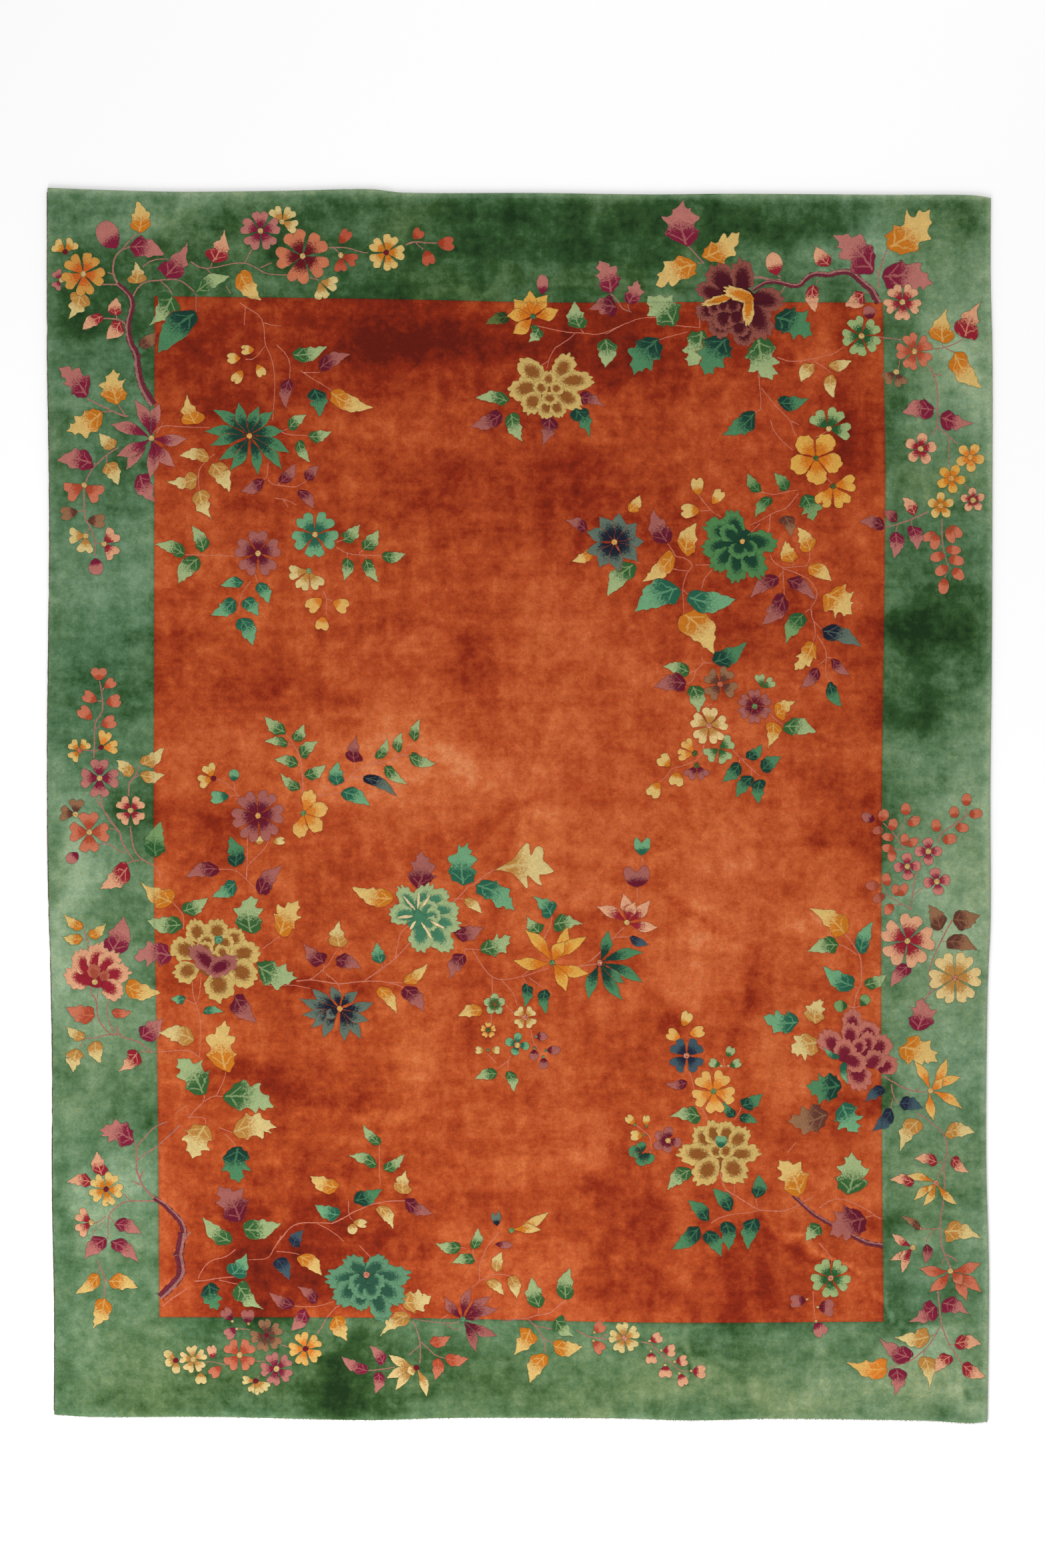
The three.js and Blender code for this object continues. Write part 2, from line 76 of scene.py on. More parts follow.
# Each dye's lines, with their usual widths at the root and the end. Each row: the points along the line, x
# and y in turn. A row in round brackets starts with widths of its own.
STEMS = {}
STEMS["vein", 3, 2] = [
    [-798, 1435, -783, 1422, -749, 1405, -730, 1377, -728, 1315, -715, 1294, -702, 1255, -698, 1190, -706,
     1100],
    [-783, 1422, -787, 1370], [-730, 1377, -702, 1369, -681, 1369], [-783, 1273, -757, 1273, -728, 1311],
    [-694, 1315, -668, 1290, -655, 1264, -657, 1217], [-625, 1241, -591, 1217, -566, 1204, -536, 1183],
    [-621, 1236, -570, 1236],
    [38, 1371, 72, 1364, 94, 1358, 145, 1349, 179, 1349, 213, 1343, 243, 1349, 291, 1371, 345, 1393, 400,
     1392],
    [173, 1360, 183, 1349], [102, 1307, 136, 1328, 158, 1347], [102, 1307, 85, 1281, 77, 1247],
    [60, 1255, 85, 1272], [291, 1371, 245, 1345], [391, 1328, 430, 1339, 480, 1352],
    [442, 1370, 485, 1366, 515, 1364], [513, 1390, 513, 1365], (4, 3, [675, 1350, 682, 1332]),
    [735, 1278, 765, 1268, 800, 1267, 820, 1273, 845, 1276, 900, 1290, 925, 1310], [820, 1273, 828, 1265],
    [838, 1270, 862, 1255, 888, 1235], [-1035, 1063, -1018, 1095],
    [-1050, 1062, -1020, 1086, -960, 1080, -885, 1079],
    [-920, 933, -915, 960, -900, 980, -884, 993, -870, 1003], [-915, 960, -918, 925, -914, 901],
    [-955, 716, -918, 716, -860, 713, -820, 713], [-683, 1067, -660, 1058, -600, 1055],
    [-683, 1067, -658, 1077], [-720, 1110, -710, 1119], [-719, 977, -719, 940, -733, 928],
    [-719, 930, -705, 915, -660, 911, -640, 908, -607, 927], [-690, 915, -683, 923],
    [-700, 878, -680, 875, -660, 870, -638, 858], [-675, 873, -660, 850],
    [-524, 737, -495, 720, -460, 715, -392, 713], [-492, 720, -492, 706], [-440, 714, -438, 703],
    [-460, 718, -447, 731], [-523, 752, -507, 758], [-560, 612, -550, 590, -553, 545],
    [-550, 590, -535, 585], [-768, 640, -790, 612, -795, 600, -803, 560], [-755, 660, -748, 635],
    [276, 736, 314, 707, 344, 690],
    [421, 749, 438, 726, 442, 711, 472, 707, 493, 690, 489, 677, 476, 664, 463, 621, 467, 583, 467, 545],
    [425, 681, 450, 672, 480, 670], [502, 687, 548, 687], [519, 621, 525, 647, 548, 672],
    [465, 617, 482, 600], [510, 886, 527, 864, 548, 839, 574, 824], [514, 841, 548, 843],
    [685, 895, 702, 893, 723, 886, 762, 896, 792, 901],
    [794, 890, 774, 864, 757, 845, 723, 837, 693, 817, 655, 800], [715, 830, 713, 796, 706, 775],
    [685, 805, 655, 775], [715, 715, 723, 696, 749, 677, 779, 681, 821, 685],
    [749, 677, 779, 668, 809, 655, 824, 647, 850, 613, 845, 583, 830, 570, 832, 540],
    [751, 672, 753, 630, 755, 600], [732, 647, 749, 664], [781, 705, 779, 682],
    [828, 722, 826, 700, 818, 686], [672, 1122, 689, 1133], [680, 1251, 685, 1183, 689, 1160, 687, 1133],
    [715, 1099, 725, 1067, 753, 1035, 779, 1014],
    [689, 1191, 706, 1170, 736, 1133, 774, 1099, 779, 1069, 789, 1056], [774, 1097, 798, 1086],
    [843, 1052, 862, 1058, 882, 1073], [869, 941, 890, 920], [-869, 78, -845, 70, -816, 45, -800, 26],
    [-816, 68, -814, 45], [-828, 28, -800, 30],
    (4, 2, [-619, 34, -619, 68, -621, 98, -627, 137, -642, 171, -670, 209]), [-662, 176, -644, 175],
    [-613, 83, -621, 89], [-591, 30, -557, 30, -523, 37, -508, 38],
    (3, 3, [-517, 58, -489, 79, -467, 102, -438, 115, -404, 123, -369, 129, -340, 143, -314, 145]),
    [-472, 119, -472, 102], [-340, 143, -318, 164, -301, 183], [-480, 81, -446, 84], [-404, 123, -384, 115],
    [-408, 132, -408, 123], [-350, 152, -352, 137], [519, 422, 523, 407, 548, 407],
    [523, 407, 502, 384, 484, 380], [502, 384, 493, 354, 476, 348], [548, 290, 531, 283],
    [706, 271, 723, 252, 740, 239, 753, 228],
    [525, 179, 523, 154, 506, 132, 489, 122, 455, 111, 433, 107, 421, 87, 400, 69],
    [602, 166, 630, 134, 647, 132], [634, 132, 655, 111, 685, 85], [661, 103, 662, 83],
    [628, 134, 625, 120], [815, 553, 833, 565, 833, 533, 848, 516, 860, 505],
    [839, 525, 845, 490, 837, 469], [848, 486, 873, 448, 875, 418, 871, 388, 875, 367, 884, 354],
    [875, 420, 852, 401], [876, 424, 890, 420], [-1052, -167, -1037, -174, -1025, -203],
    (3, 3, [-999, -267, -976, -293, -958, -312, -960, -352]),
    [-901, -182, -858, -181, -811, -182, -783, -208, -749, -242],
    [-935, -498, -933, -544, -922, -570, -909, -617, -914, -718], [-909, -489, -914, -544, -924, -566],
    [-952, -553, -926, -566], [-734, -408, -683, -370],
    [-717, -84, -719, -112, -749, -144, -781, -173, -781, -208], [-777, -88, -779, -208],
    [-743, -498, -719, -515, -651, -510, -598, -521],
    (4, 3, [-638, -500, -591, -496, -557, -502, -514, -510, -467, -502, -421, -500, -378, -502, -333, -517]),
    [-600, -496, -574, -480, -540, -446, -531, -425, -516, -406], [-562, -478, -557, -449],
    [-553, -480, -514, -510, -512, -553], (4, 3, [-442, -498, -395, -466, -357, -438, -314, -391]),
    [-355, -436, -348, -391, -340, -357, -301, -333], [-378, -503, -333, -504], [-393, -463, -395, -449],
    (3, 3, [-72, -183, -102, -199, -132, -225, -149, -231, -162, -248, -190, -275]),
    [-188, -266, -160, -266], (3, 3, [92, -314, 89, -344, 72, -370, 68, -395]), [-156, -408, -111, -411],
    [-134, -412, -107, -459, -81, -489, -51, -498, 4, -489, 34, -463], [-156, -408, -158, -423],
    [-79, -489, -79, -536], [-51, -498, -17, -536, -9, -566], [4, -489, 81, -463], [10, -492, 21, -508],
    [26, -490, 66, -520], [-40, -570, -12, -596], [-81, -594, -81, -620], (4, 3, [164, -459, 222, -451]),
    (4, 3, [196, -446, 213, -434, 239, -408, 269, -374, 297, -348]), [349, -148, 348, -178],
    [335, -235, 334, -272], [269, -375, 313, -374],
    (4, 3, [929, -367, 948, -391, 973, -429, 975, -472, 975, -515, 961, -532, 954, -570, 952, -591]),
    (3, 3, [880, -387, 911, -395, 939, -408, 961, -425]), [954, -515, 965, -521],
    [935, -570, 954, -578, 973, -570],
    (3, 3, [-1031, -702, -1008, -701, -973, -697, -939, -699, -914, -718]),
    (3, 3, [-901, -825, -899, -842, -935, -876, -944, -893]), (3, 3, [-899, -842, -875, -827, -848, -829]),
    [-866, -827, -845, -786, -839, -760], [-950, -855, -982, -876], [-948, -889, -897, -887, -896, -910],
    [-858, -918, -820, -933], [-841, -936, -816, -961, -811, -978], [-401, -965, -401, -1030, -399, -1080],
    (4, 3, [-536, -1191, -506, -1179, -476, -1159, -450, -1149, -429, -1138, -399, -1132, -369, -1127,
            -327, -1127]),
    (4, 3, [-694, -1251, -655, -1201, -625, -1189, -587, -1189, -536, -1191]),
    [-578, -1191, -531, -1217, -502, -1243], [-489, -1127, -489, -1170, -476, -1183],
    [-26, -713, -35, -729, -33, -755], [-35, -729, -65, -751], [-90, -708, -67, -734],
    [32, -640, 36, -670, 49, -689, 64, -710],
    [-60, -1217, -82, -1244, -99, -1265, -107, -1293, -116, -1310, -114, -1347, -120, -1364, -141, -1376],
    [-133, -1263, -135, -1282, -120, -1304], [-168, -1260, -153, -1263],
    [-114, -1355, -94, -1347, -86, -1338, -52, -1336, -26, -1342],
    [581, -721, 583, -751, 571, -743, 601, -743], [632, -860, 626, -875, 613, -896],
    [506, -851, 532, -879, 536, -909], [484, -760, 493, -785, 497, -810],
    [331, -911, 355, -928, 374, -947, 376, -982],
    (4, 3, [573, -1039, 575, -1067, 588, -1097, 613, -1110, 652, -1136, 682, -1153, 703, -1154, 750, -1157,
            776, -1148, 801, -1138]),
    [612, -1066, 612, -1104], [545, -1191, 566, -1176, 605, -1165, 656, -1161, 682, -1153],
    [673, -1120, 678, -1150], [763, -990, 788, -960], [810, -1129, 836, -1116],
    [855, -1148, 882, -1125, 917, -1121, 938, -1127, 972, -1142, 998, -1157, 1028, -1179],
    [987, -1174, 1010, -1168, 1036, -1179], [852, -1245, 889, -1287, 889, -1308],
    [837, -1385, 837, -1415, 842, -1458, 846, -1468],
    (3, 3, [-918, -1349, -912, -1334, -897, -1310, -876, -1295, -837, -1287, -811, -1265]),
    (4, 3, [-927, -1356, -901, -1355, -859, -1347, -803, -1343]), [-859, -1353, -803, -1366],
    (4, 4, [-950, -1377, -1000, -1411, -1021, -1428]), [-694, -1272, -659, -1273, -629, -1280],
    [-681, -1227, -700, -1261, -715, -1287, -728, -1294, -773, -1295],
    [-644, -1427, -617, -1429, -574, -1428, -548, -1419, -531, -1414],
    (3, 3, [-514, -1423, -535, -1441, -552, -1462]), [-459, -1253, -420, -1295],
    (3, 3, [-347, -1424, -312, -1456]), [-227, -1466, -205, -1451], [55, -1432, 51, -1451],
    (4, 3, [130, -1411, 102, -1434, 85, -1449, 51, -1453, 25, -1460]),
]
STEMS["twig", 3, 3] = [
    (7, 4, [-1148, 1490, -1161, 1516, -1161, 1550, -1147, 1581, -1112, 1595]),
    (4, 3, [-1132, 1590, -1112, 1615, -1086, 1637]), (4, 3, [-1161, 1516, -1176, 1522]),
    (5, 4, [-1142, 1487, -1208, 1487]),
    (5, 4, [-1105, 1450, -1092, 1477, -1071, 1495, -1028, 1499, -986, 1503, -960, 1494, -939, 1476, -924,
            1462]),
    (3, 2, [-924, 1462, -924, 1407]), (4, 3, [-1025, 1497, -999, 1474, -993, 1456]),
    (4, 3, [-1076, 1537, -1054, 1554, -1028, 1560, -1003, 1559]),
    (6, 4, [-1122, 1371, -1144, 1388, -1178, 1390, -1206, 1390]), (4, 3, [-1151, 1389, -1151, 1397]),
    (4, 3, [-939, 1552, -910, 1533, -871, 1534, -833, 1545, -783, 1550, -749, 1533, -728, 1518, -685, 1514,
            -651, 1515]),
    [-892, 1531, -873, 1508], (4, 3, [-882, 1533, -878, 1550]), [-839, 1482, -824, 1460],
    (4, 3, [-783, 1551, -766, 1588, -744, 1605]), (4, 3, [-740, 1535, -708, 1549]),
    (4, 3, [-600, 1507, -574, 1499]), (4, 3, [-557, 1592, -523, 1592, -489, 1592, -463, 1581, -433, 1577]),
    [-531, 1592, -514, 1574], (5, 4, [-325, 1600, -303, 1610, -276, 1606, -235, 1605]),
    [-301, 1609, -276, 1587], (4, 3, [260, 1460, 281, 1439, 291, 1417, 318, 1408]), [307, 1431, 313, 1410],
    (5, 4, [479, 1597, 500, 1575, 515, 1558, 525, 1548]), [506, 1548, 525, 1548],
    (7, 8, [664, 1507, 690, 1508, 710, 1500, 745, 1498]), [757, 1483, 745, 1461],
    (4, 3, [745, 1507, 735, 1513]), [888, 1533, 893, 1528], [850, 1500, 846, 1488], [980, 1464, 1000, 1464],
    (5, 4, [1024, 1475, 1022, 1505, 1035, 1555, 1049, 1590]), (4, 3, [1020, 1515, 1016, 1530]),
    (4, 3, [1003, 1340, 1045, 1335, 1090, 1329]),
    (4, 3, [1140, 1296, 1175, 1302, 1215, 1307, 1245, 1319, 1268, 1333]), [1215, 1305, 1240, 1293],
    [1208, 1308, 1205, 1320], (5, 4, [1167, 1254, 1183, 1225, 1192, 1190, 1192, 1140, 1192, 1100]),
    (4, 4, [1180, 1230, 1205, 1228]), [1080, 1242, 1085, 1275],
    (6, 4, [-1117, 1111, -1130, 1111, -1165, 1127, -1200, 1144, -1235, 1162]),
    (4, 3, [-1126, 1114, -1146, 1144]), (4, 3, [-1165, 1124, -1192, 1124]),
    (5, 4, [-1145, 1022, -1176, 1004, -1200, 981, -1217, 965, -1230, 945, -1240, 920]),
    [-1178, 1000, -1180, 978], [-1215, 975, -1200, 976],
    (5, 4, [-1243, 905, -1244, 860, -1240, 815, -1225, 795, -1215, 765, -1211, 745, -1213, 712]),
    [-1244, 840, -1262, 841], [-1240, 812, -1225, 815], [-1228, 793, -1238, 775], [-1213, 750, -1192, 748],
    (5, 4, [1192, 1105, 1193, 1082, 1174, 1056]), (4, 4, [1193, 1082, 1225, 1052, 1250, 1031]),
    (4, 3, [1225, 1052, 1223, 988, 1227, 967]), [1270, 916, 1285, 903],
    (5, 4, [1165, 839, 1131, 822, 1084, 805, 1042, 793, 1016, 793]), [1118, 818, 1118, 798],
    [1078, 803, 1073, 781], (4, 3, [1204, 818, 1204, 775, 1210, 719, 1225, 681, 1212, 651]),
    [1180, 1133, 1193, 1133], [1193, 1120, 1203, 1109],
    (5, 4, [-1216, 136, -1214, 158, -1214, 196, -1212, 239, -1195, 260, -1189, 281, -1193, 328, -1199, 356]),
    [-1206, 300, -1190, 296], [-1185, 337, -1192, 328], [-1218, 246, -1212, 239], [-1197, 229, -1213, 217],
    (4, 3, [-1214, 158, -1252, 158]), [-1214, 152, -1198, 162],
    (5, 5, [-1193, 30, -1193, -4, -1178, -30, -1153, -60]), (5, 4, [-1195, -2, -1206, 12, -1207, 25]),
    (5, 4, [-1116, 28, -1116, 60, -1108, 72, -1097, 85, -1085, 115]), [-1104, 75, -1086, 88],
    (6, 5, [-1182, -20, -1161, -54, -1140, -75, -1138, -101, -1118, -131, -1103, -156]),
    (5, 5, [-1112, -58, -1103, -127, -1080, -152, -1052, -167]), [-1172, -64, -1157, -66, -1144, -75],
    (4, 4, [-1206, -110, -1170, -107, -1144, -131, -1125, -133]),
    (4, 4, [-1148, -173, -1108, -159, -1076, -154]),
    (4, 4, [-1248, -335, -1242, -361, -1231, -387, -1233, -412]), [-1248, -378, -1231, -387],
    (5, 5, [-1223, -515, -1223, -536, -1206, -557, -1206, -604, -1187, -634, -1165, -655, -1144, -652]),
    [-1202, -515, -1206, -553], (4, 4, [-1157, -544, -1178, -557, -1176, -613, -1157, -647]),
    (4, 4, [1037, -50, 1063, -73, 1084, -105, 1099, -127]), [1100, -33, 1095, -56, 1076, -90],
    [1067, -122, 1095, -125], (5, 4, [1193, -105, 1204, -75, 1242, -52, 1280, -26]), [1272, -29, 1274, -4],
    (4, 4, [1148, -148, 1131, -191, 1123, -233, 1120, -259, 1116, -297]), [1150, -233, 1123, -254],
    (4, 3, [1116, -297, 1084, -276, 1046, -255, 1037, -229]), [1088, -282, 1063, -282],
    (5, 4, [1234, -327, 1216, -357, 1204, -382, 1187, -417, 1178, -438, 1167, -468, 1172, -510, 1170, -536,
            1152, -557]),
    [1202, -387, 1220, -387], [1200, -352, 1206, -361], (4, 3, [1165, -540, 1191, -519]),
    [1174, -400, 1180, -417],
    (5, 5, [-1152, -628, -1144, -652, -1127, -663, -1084, -673, -1063, -695, -1052, -699]),
    (4, 4, [-1148, -651, -1187, -654, -1208, -663, -1242, -663]), [-1242, -666, -1257, -690],
    (4, 3, [-1084, -701, -1046, -703, -1031, -702]),
    (4, 4, [-1093, -972, -1071, -948, -1054, -927, -1037, -914, -1008, -901]),
    (4, 4, [-1093, -1012, -1071, -995, -1037, -974, -1003, -944, -969, -910]),
    (5, 7, [-1100, -957, -1093, -974, -1093, -1012, -1095, -1042, -1084, -1063, -1080, -1080, -1054, -1110,
            -1040, -1121]),
    (5, 5, [-1076, -1042, -1084, -1063]), (4, 5, [-1108, -1070, -1084, -1081]),
    (5, 7, [-939, -1215, -954, -1230]),
    (5, 4, [-1033, -1127, -1071, -1127, -1114, -1127, -1144, -1136, -1165, -1157, -1176, -1174, -1174,
            -1217, -1176, -1236]),
    (4, 3, [-1131, -1106, -1114, -1125]), (4, 3, [-1182, -1170, -1204, -1191, -1221, -1190]),
    [-1221, -1236, -1216, -1213, -1187, -1187], [-1172, -1170, -1153, -1195],
    (5, 4, [1038, -772, 1088, -802, 1126, -815, 1160, -817]), [1126, -815, 1141, -805],
    (4, 4, [1060, -795, 1066, -832, 1083, -849]), [1064, -836, 1058, -864], [1105, -815, 1111, -841],
    (4, 5, [1135, -877, 1160, -892, 1186, -913, 1205, -930, 1218, -956, 1218, -990, 1209, -1020, 1212,
            -1059, 1212, -1093, 1209, -1131, 1201, -1170, 1199, -1204, 1201, -1244, 1209, -1274, 1224,
            -1304, 1229, -1319]),
    [1137, -881, 1138, -896], (4, 3, [1214, -1018, 1201, -1042, 1192, -1063]), [1192, -1018, 1205, -1015],
    [1225, -995, 1231, -1006], [1145, -1206, 1184, -1207, 1199, -1204],
    [1160, -1247, 1165, -1225, 1184, -1208],
    (4, 4, [-1206, -1295, -1198, -1315, -1188, -1334, -1185, -1347, -1186, -1402]),
    [-1199, -1319, -1209, -1335], [-1185, -1347, -1177, -1357], [-897, -1587, -871, -1586, -837, -1596],
    [-908, -1603, -910, -1614], (4, 4, [-552, -1462, -560, -1479, -578, -1505]), [-803, -1492, -771, -1494],
    [-683, -1537, -659, -1545], [-760, -1584, -728, -1585], [-745, -1626, -749, -1634],
    (4, 3, [-432, -1611, -403, -1609, -377, -1605, -356, -1601]),
    (4, 4, [-305, -1470, -292, -1501, -283, -1535, -285, -1590]), [-283, -1537, -317, -1567],
    (4, 3, [-282, -1530, -257, -1552, -244, -1567, -212, -1577]),
    [-305, -1464, -265, -1470, -227, -1475, -188, -1477, -171, -1470],
    [-210, -1479, -188, -1494, -171, -1496], [25, -1462, 0, -1464, -52, -1471],
    (4, 4, [23, -1464, 34, -1475, 51, -1492, 68, -1518, 74, -1560]),
    (4, 3, [42, -1483, 77, -1490, 119, -1496]),
    (4, 4, [162, -1496, 183, -1509, 209, -1518, 239, -1520, 254, -1522]),
    [231, -1518, 239, -1510, 252, -1509], [68, -1518, 96, -1535],
    (4, 3, [346, -1530, 370, -1532, 387, -1550, 408, -1569, 434, -1590, 455, -1612, 489, -1614]),
    [415, -1569, 416, -1594], (4, 4, [1248, -1300, 1237, -1289, 1209, -1278]), [1212, -1291, 1203, -1310],
    (5, 4, [1192, -1383, 1197, -1424, 1201, -1475, 1216, -1518, 1233, -1552, 1250, -1573, 1263, -1597]),
    (4, 4, [1199, -1485, 1182, -1518, 1160, -1547, 1139, -1565, 1113, -1586, 1079, -1594, 1049, -1607]),
    [1229, -1536, 1241, -1537], [1154, -1556, 1153, -1569], [1170, -1513, 1184, -1510],
]
STEMS["bark", 17, 9] = [
    [-1046, 1144, -1072, 1183, -1084, 1213, -1091, 1255, -1093, 1290, -1110, 1315, -1118, 1349, -1118,
     1383, -1106, 1417, -1106, 1447, -1123, 1467, -1148, 1490],
    (7, 15, [664, 1470, 690, 1488, 715, 1497, 750, 1492, 775, 1483, 800, 1483, 815, 1503, 835, 1517, 862,
             1517, 885, 1513, 905, 1522, 940, 1524, 962, 1508, 985, 1485, 1003, 1474, 1015, 1450, 1024,
             1434]),
    (9, 15, [-1044, -1119, -1016, -1136, -995, -1157, -973, -1179, -961, -1200, -958, -1226, -969, -1262]),
    (7, 11, [780, -1112, 814, -1144, 844, -1170, 887, -1193, 920, -1213, 957, -1231, 989, -1248, 1036,
             -1255]),
    (18, 17, [-963, -1218, -966, -1235, -968, -1253, -975, -1280, -967, -1308, -967, -1342, -1000, -1376,
              -1026, -1402]),
    (6, 3, [-975, -1280, -989, -1282]),
]
DRAWN_WIDER = {"vein": 0.88, "twig": 0.86, "bark": 1.3}
LILAC_WIDTH = 0.5
LILAC_SHIFT = 0.66
LINE_STEP = 6
WIDTH_WANDER = 0.1
LINE_WANDER = 0.3


def knot_in(kind, outline, dye, **placed):
    """Adds a closed outline to the design. A motif's frame runs from its stalk along its heading."""
    frame_of = {"stalk": (0, 0), "heading": (1, 0), "length": 1, "half_width": 1, "bow": 0}
    shading = {"reach": 0.5, "rim": 0, "spot": 0, "shaded": False, "veined": False, "carved": True}
    design.append({"kind": kind, "outline": np.array(outline), "dye": dye} | frame_of | shading | placed)


def rounded(points, times, closed):
    """Cuts the corners of a line of points."""
    points = np.array(points, float)
    for _ in range(times):
        after = np.roll(points, -1, axis=0) if closed else points[1:]
        before = points if closed else points[:-1]
        cut = np.empty((2 * len(before), 2))
        cut[0::2] = 0.75 * before + 0.25 * after
        cut[1::2] = 0.25 * before + 0.75 * after
        points = cut if closed else np.vstack([points[:1], cut, points[-1:]])
    return points


def evenly(points, step, closed):
    """The same line with its points about a step apart."""
    line = np.vstack([points, points[:1]]) if closed else points
    run = np.concatenate([[0], np.cumsum(np.hypot(*np.diff(line, axis=0).T))])
    count = max(round(run[-1] / step), 6 if closed else 1)
    at = np.linspace(0, run[-1], count + 1)
    at = at[:-1] if closed else at
    return np.stack([np.interp(at, run, line[:, k]) for k in (0, 1)], axis=1)


def ribbon(points, root, end, shift=0):
    """The outline of a line that narrows from root to end, shifted sideways by part of its width."""
    middle = evenly(rounded(points, 2, False), LINE_STEP, False)
    heading = np.gradient(middle, axis=0)
    heading /= np.hypot(*heading.T)[:, None]
    side = np.stack([-heading[:, 1], heading[:, 0]], axis=1)
    width = np.linspace(root, end, len(middle)) * chance.normal(1, WIDTH_WANDER, len(middle))
    middle = middle + side * (shift * width)[:, None] + chance.normal(0, LINE_WANDER, middle.shape)
    half = side * (width / 2)[:, None]
    return np.vstack([middle + half, (middle - half)[::-1]])


for (dye, *usual), rows in STEMS.items():
    wider = DRAWN_WIDER[dye]
    for row in rows:
        root, end, line = row if isinstance(row, tuple) else (*usual, row)
        points = np.reshape(line, (-1, 2))
        knot_in("stem", ribbon(points, wider * root, wider * end), dye, carved=dye == "bark")
        if dye == "bark":
            lilac_side = ribbon(points, LILAC_WIDTH * root, LILAC_WIDTH * end, LILAC_SHIFT)
            knot_in("stem", lilac_side, "lilac", carved=False)


# ---------------------------------------------------------------- leaves and buds
# Each leaf is knotted in two shades of one dye, dark at the stalk and pale at the tip, which run into each
# other in a ragged line, with pale veins over the dark part. Its outline is clipped with a narrow groove.

mix_dyes(
    gold=((198, 114, 22), (218, 182, 108)),
    amber=((214, 122, 36), (222, 172, 92)),
    straw=((184, 126, 56), (214, 190, 126)),
    peach=((146, 26, 42), (220, 160, 122)),
    rose=((124, 22, 52), (182, 112, 102)),
    coral=((172, 70, 42), (200, 112, 82)),
    rust=((160, 56, 30), (184, 84, 56)),
    plum=((100, 14, 38), (164, 94, 86)),
    blush=((158, 70, 50), (178, 92, 72)),
    umber=((96, 52, 40), (148, 104, 72)),
    olive=((50, 94, 46), (158, 176, 122)),
    fern=((40, 88, 44), (118, 152, 96)),
    moss=((40, 58, 26), (92, 108, 54)),
    mint=((34, 94, 70), (110, 162, 118)),
    teal=((16, 58, 46), (76, 130, 88)),
    navy=((22, 26, 42), (96, 112, 98)),
    slate=((28, 34, 54), (62, 84, 94)),
)

# Half a motif's outline: how far along it from stalk to tip, and how far out to its side.
FORMS = {
    "ovate": [(0, 0), (0.03, 0.26), (0.12, 0.68), (0.26, 0.98), (0.4, 1.04), (0.5, 0.94), (0.58, 0.9),
              (0.67, 0.76), (0.75, 0.58), (0.82, 0.46), (0.9, 0.22), (1, 0.02)],
    "wavy": [(0, 0), (0.02, 0.34), (0.11, 0.8), (0.24, 1.04), (0.36, 0.96), (0.43, 0.82), (0.52, 0.96),
             (0.61, 0.84), (0.67, 0.56), (0.75, 0.56), (0.82, 0.36), (0.9, 0.2), (1, 0.03)],
    "ivy": [(0, 0), (0.02, 0.4), (0.1, 0.94), (0.24, 1.08), (0.36, 0.88), (0.42, 0.62), (0.52, 0.84),
            (0.62, 0.62), (0.7, 0.3), (0.78, 0.28), (0.87, 0.12), (1, 0.03)],
    "maple": [(0, 0), (0.03, 0.26), (0.1, 0.52), (0.14, 0.76), (0.24, 0.8), (0.34, 1.1), (0.4, 0.82),
              (0.46, 0.7), (0.54, 0.84), (0.67, 1.12), (0.68, 0.72), (0.71, 0.46), (0.78, 0.5),
              (0.86, 0.58), (0.87, 0.26), (1, 0.02)],
    "fingered": [(0, 0.02), (0.14, 0.12), (0.28, 0.36), (0.4, 0.72), (0.53, 1.14), (0.55, 0.52), (0.6, 0.44),
                 (0.72, 0.86), (0.8, 0.94), (0.77, 0.38), (0.83, 0.32), (1, 0.02)],
    "petal": [(0, 0.05), (0.08, 0.42), (0.28, 0.86), (0.52, 1.04), (0.76, 0.94), (0.93, 0.56), (1, 0.12)],
    "heart": [(0, 0.06), (0.1, 0.44), (0.3, 0.78), (0.55, 1), (0.78, 1.04), (0.96, 0.78), (1.02, 0.46),
              (0.97, 0.2), (0.86, 0)],
    "berry": [(0, 0.1), (0.06, 0.5), (0.22, 0.9), (0.48, 1.04), (0.74, 0.94), (0.92, 0.58), (1, 0.1)],
    "tulip": [(0, 0.05), (0.1, 0.5), (0.3, 0.9), (0.6, 1.04), (0.86, 0.94), (1.04, 0.66), (0.88, 0.34),
              (0.7, 0)],
}

# Each row: where its stalk and its tip are, and its width.
LEAVES = {}
LEAVES["berry", "blush"] = [
    (1038, -68, 1006, -73, 24), (1027, -228, 985, -228, 28), (1041, -254, 1007, -272, 26),
]
LEAVES["berry", "coral"] = [
    (1187, 779, 1148, 758, 25), (1189, 775, 1182, 729, 29), (1223, 796, 1262, 768, 30),
    (1221, 794, 1236, 748, 27), (1216, 732, 1260, 728, 27), (1212, 717, 1170, 704, 30),
    (1223, 704, 1268, 696, 30), (1221, 683, 1185, 661, 30), (1236, 677, 1266, 646, 31),
    (1212, 649, 1207, 603, 32), (1273, -1, 1277, 36, 29), (1242, -36, 1238, 0, 27),
    (1282, -25, 1321, -21, 28), (1100, -28, 1103, 9, 30), (1035, -46, 1041, -9, 31),
    (1112, -49, 1143, -33, 26), (1060, -72, 1069, -36, 27), (1106, -54, 1143, -38, 26),
    (1192, -75, 1184, -38, 28), (1243, -62, 1282, -63, 28), (1206, -98, 1248, -93, 30),
    (1068, -92, 1032, -86, 25), (1102, -115, 1096, -78, 26), (1104, -115, 1138, -94, 24),
    (1067, -122, 1032, -119, 25), (1066, -125, 1058, -161, 25), (1048, -229, 1046, -190, 28),
    (1082, -257, 1067, -224, 26), (1085, -257, 1104, -222, 26), (1064, -282, 1041, -309, 27),
]
LEAVES["berry", "plum"] = [(1012, -43, 975, -25, 28)]
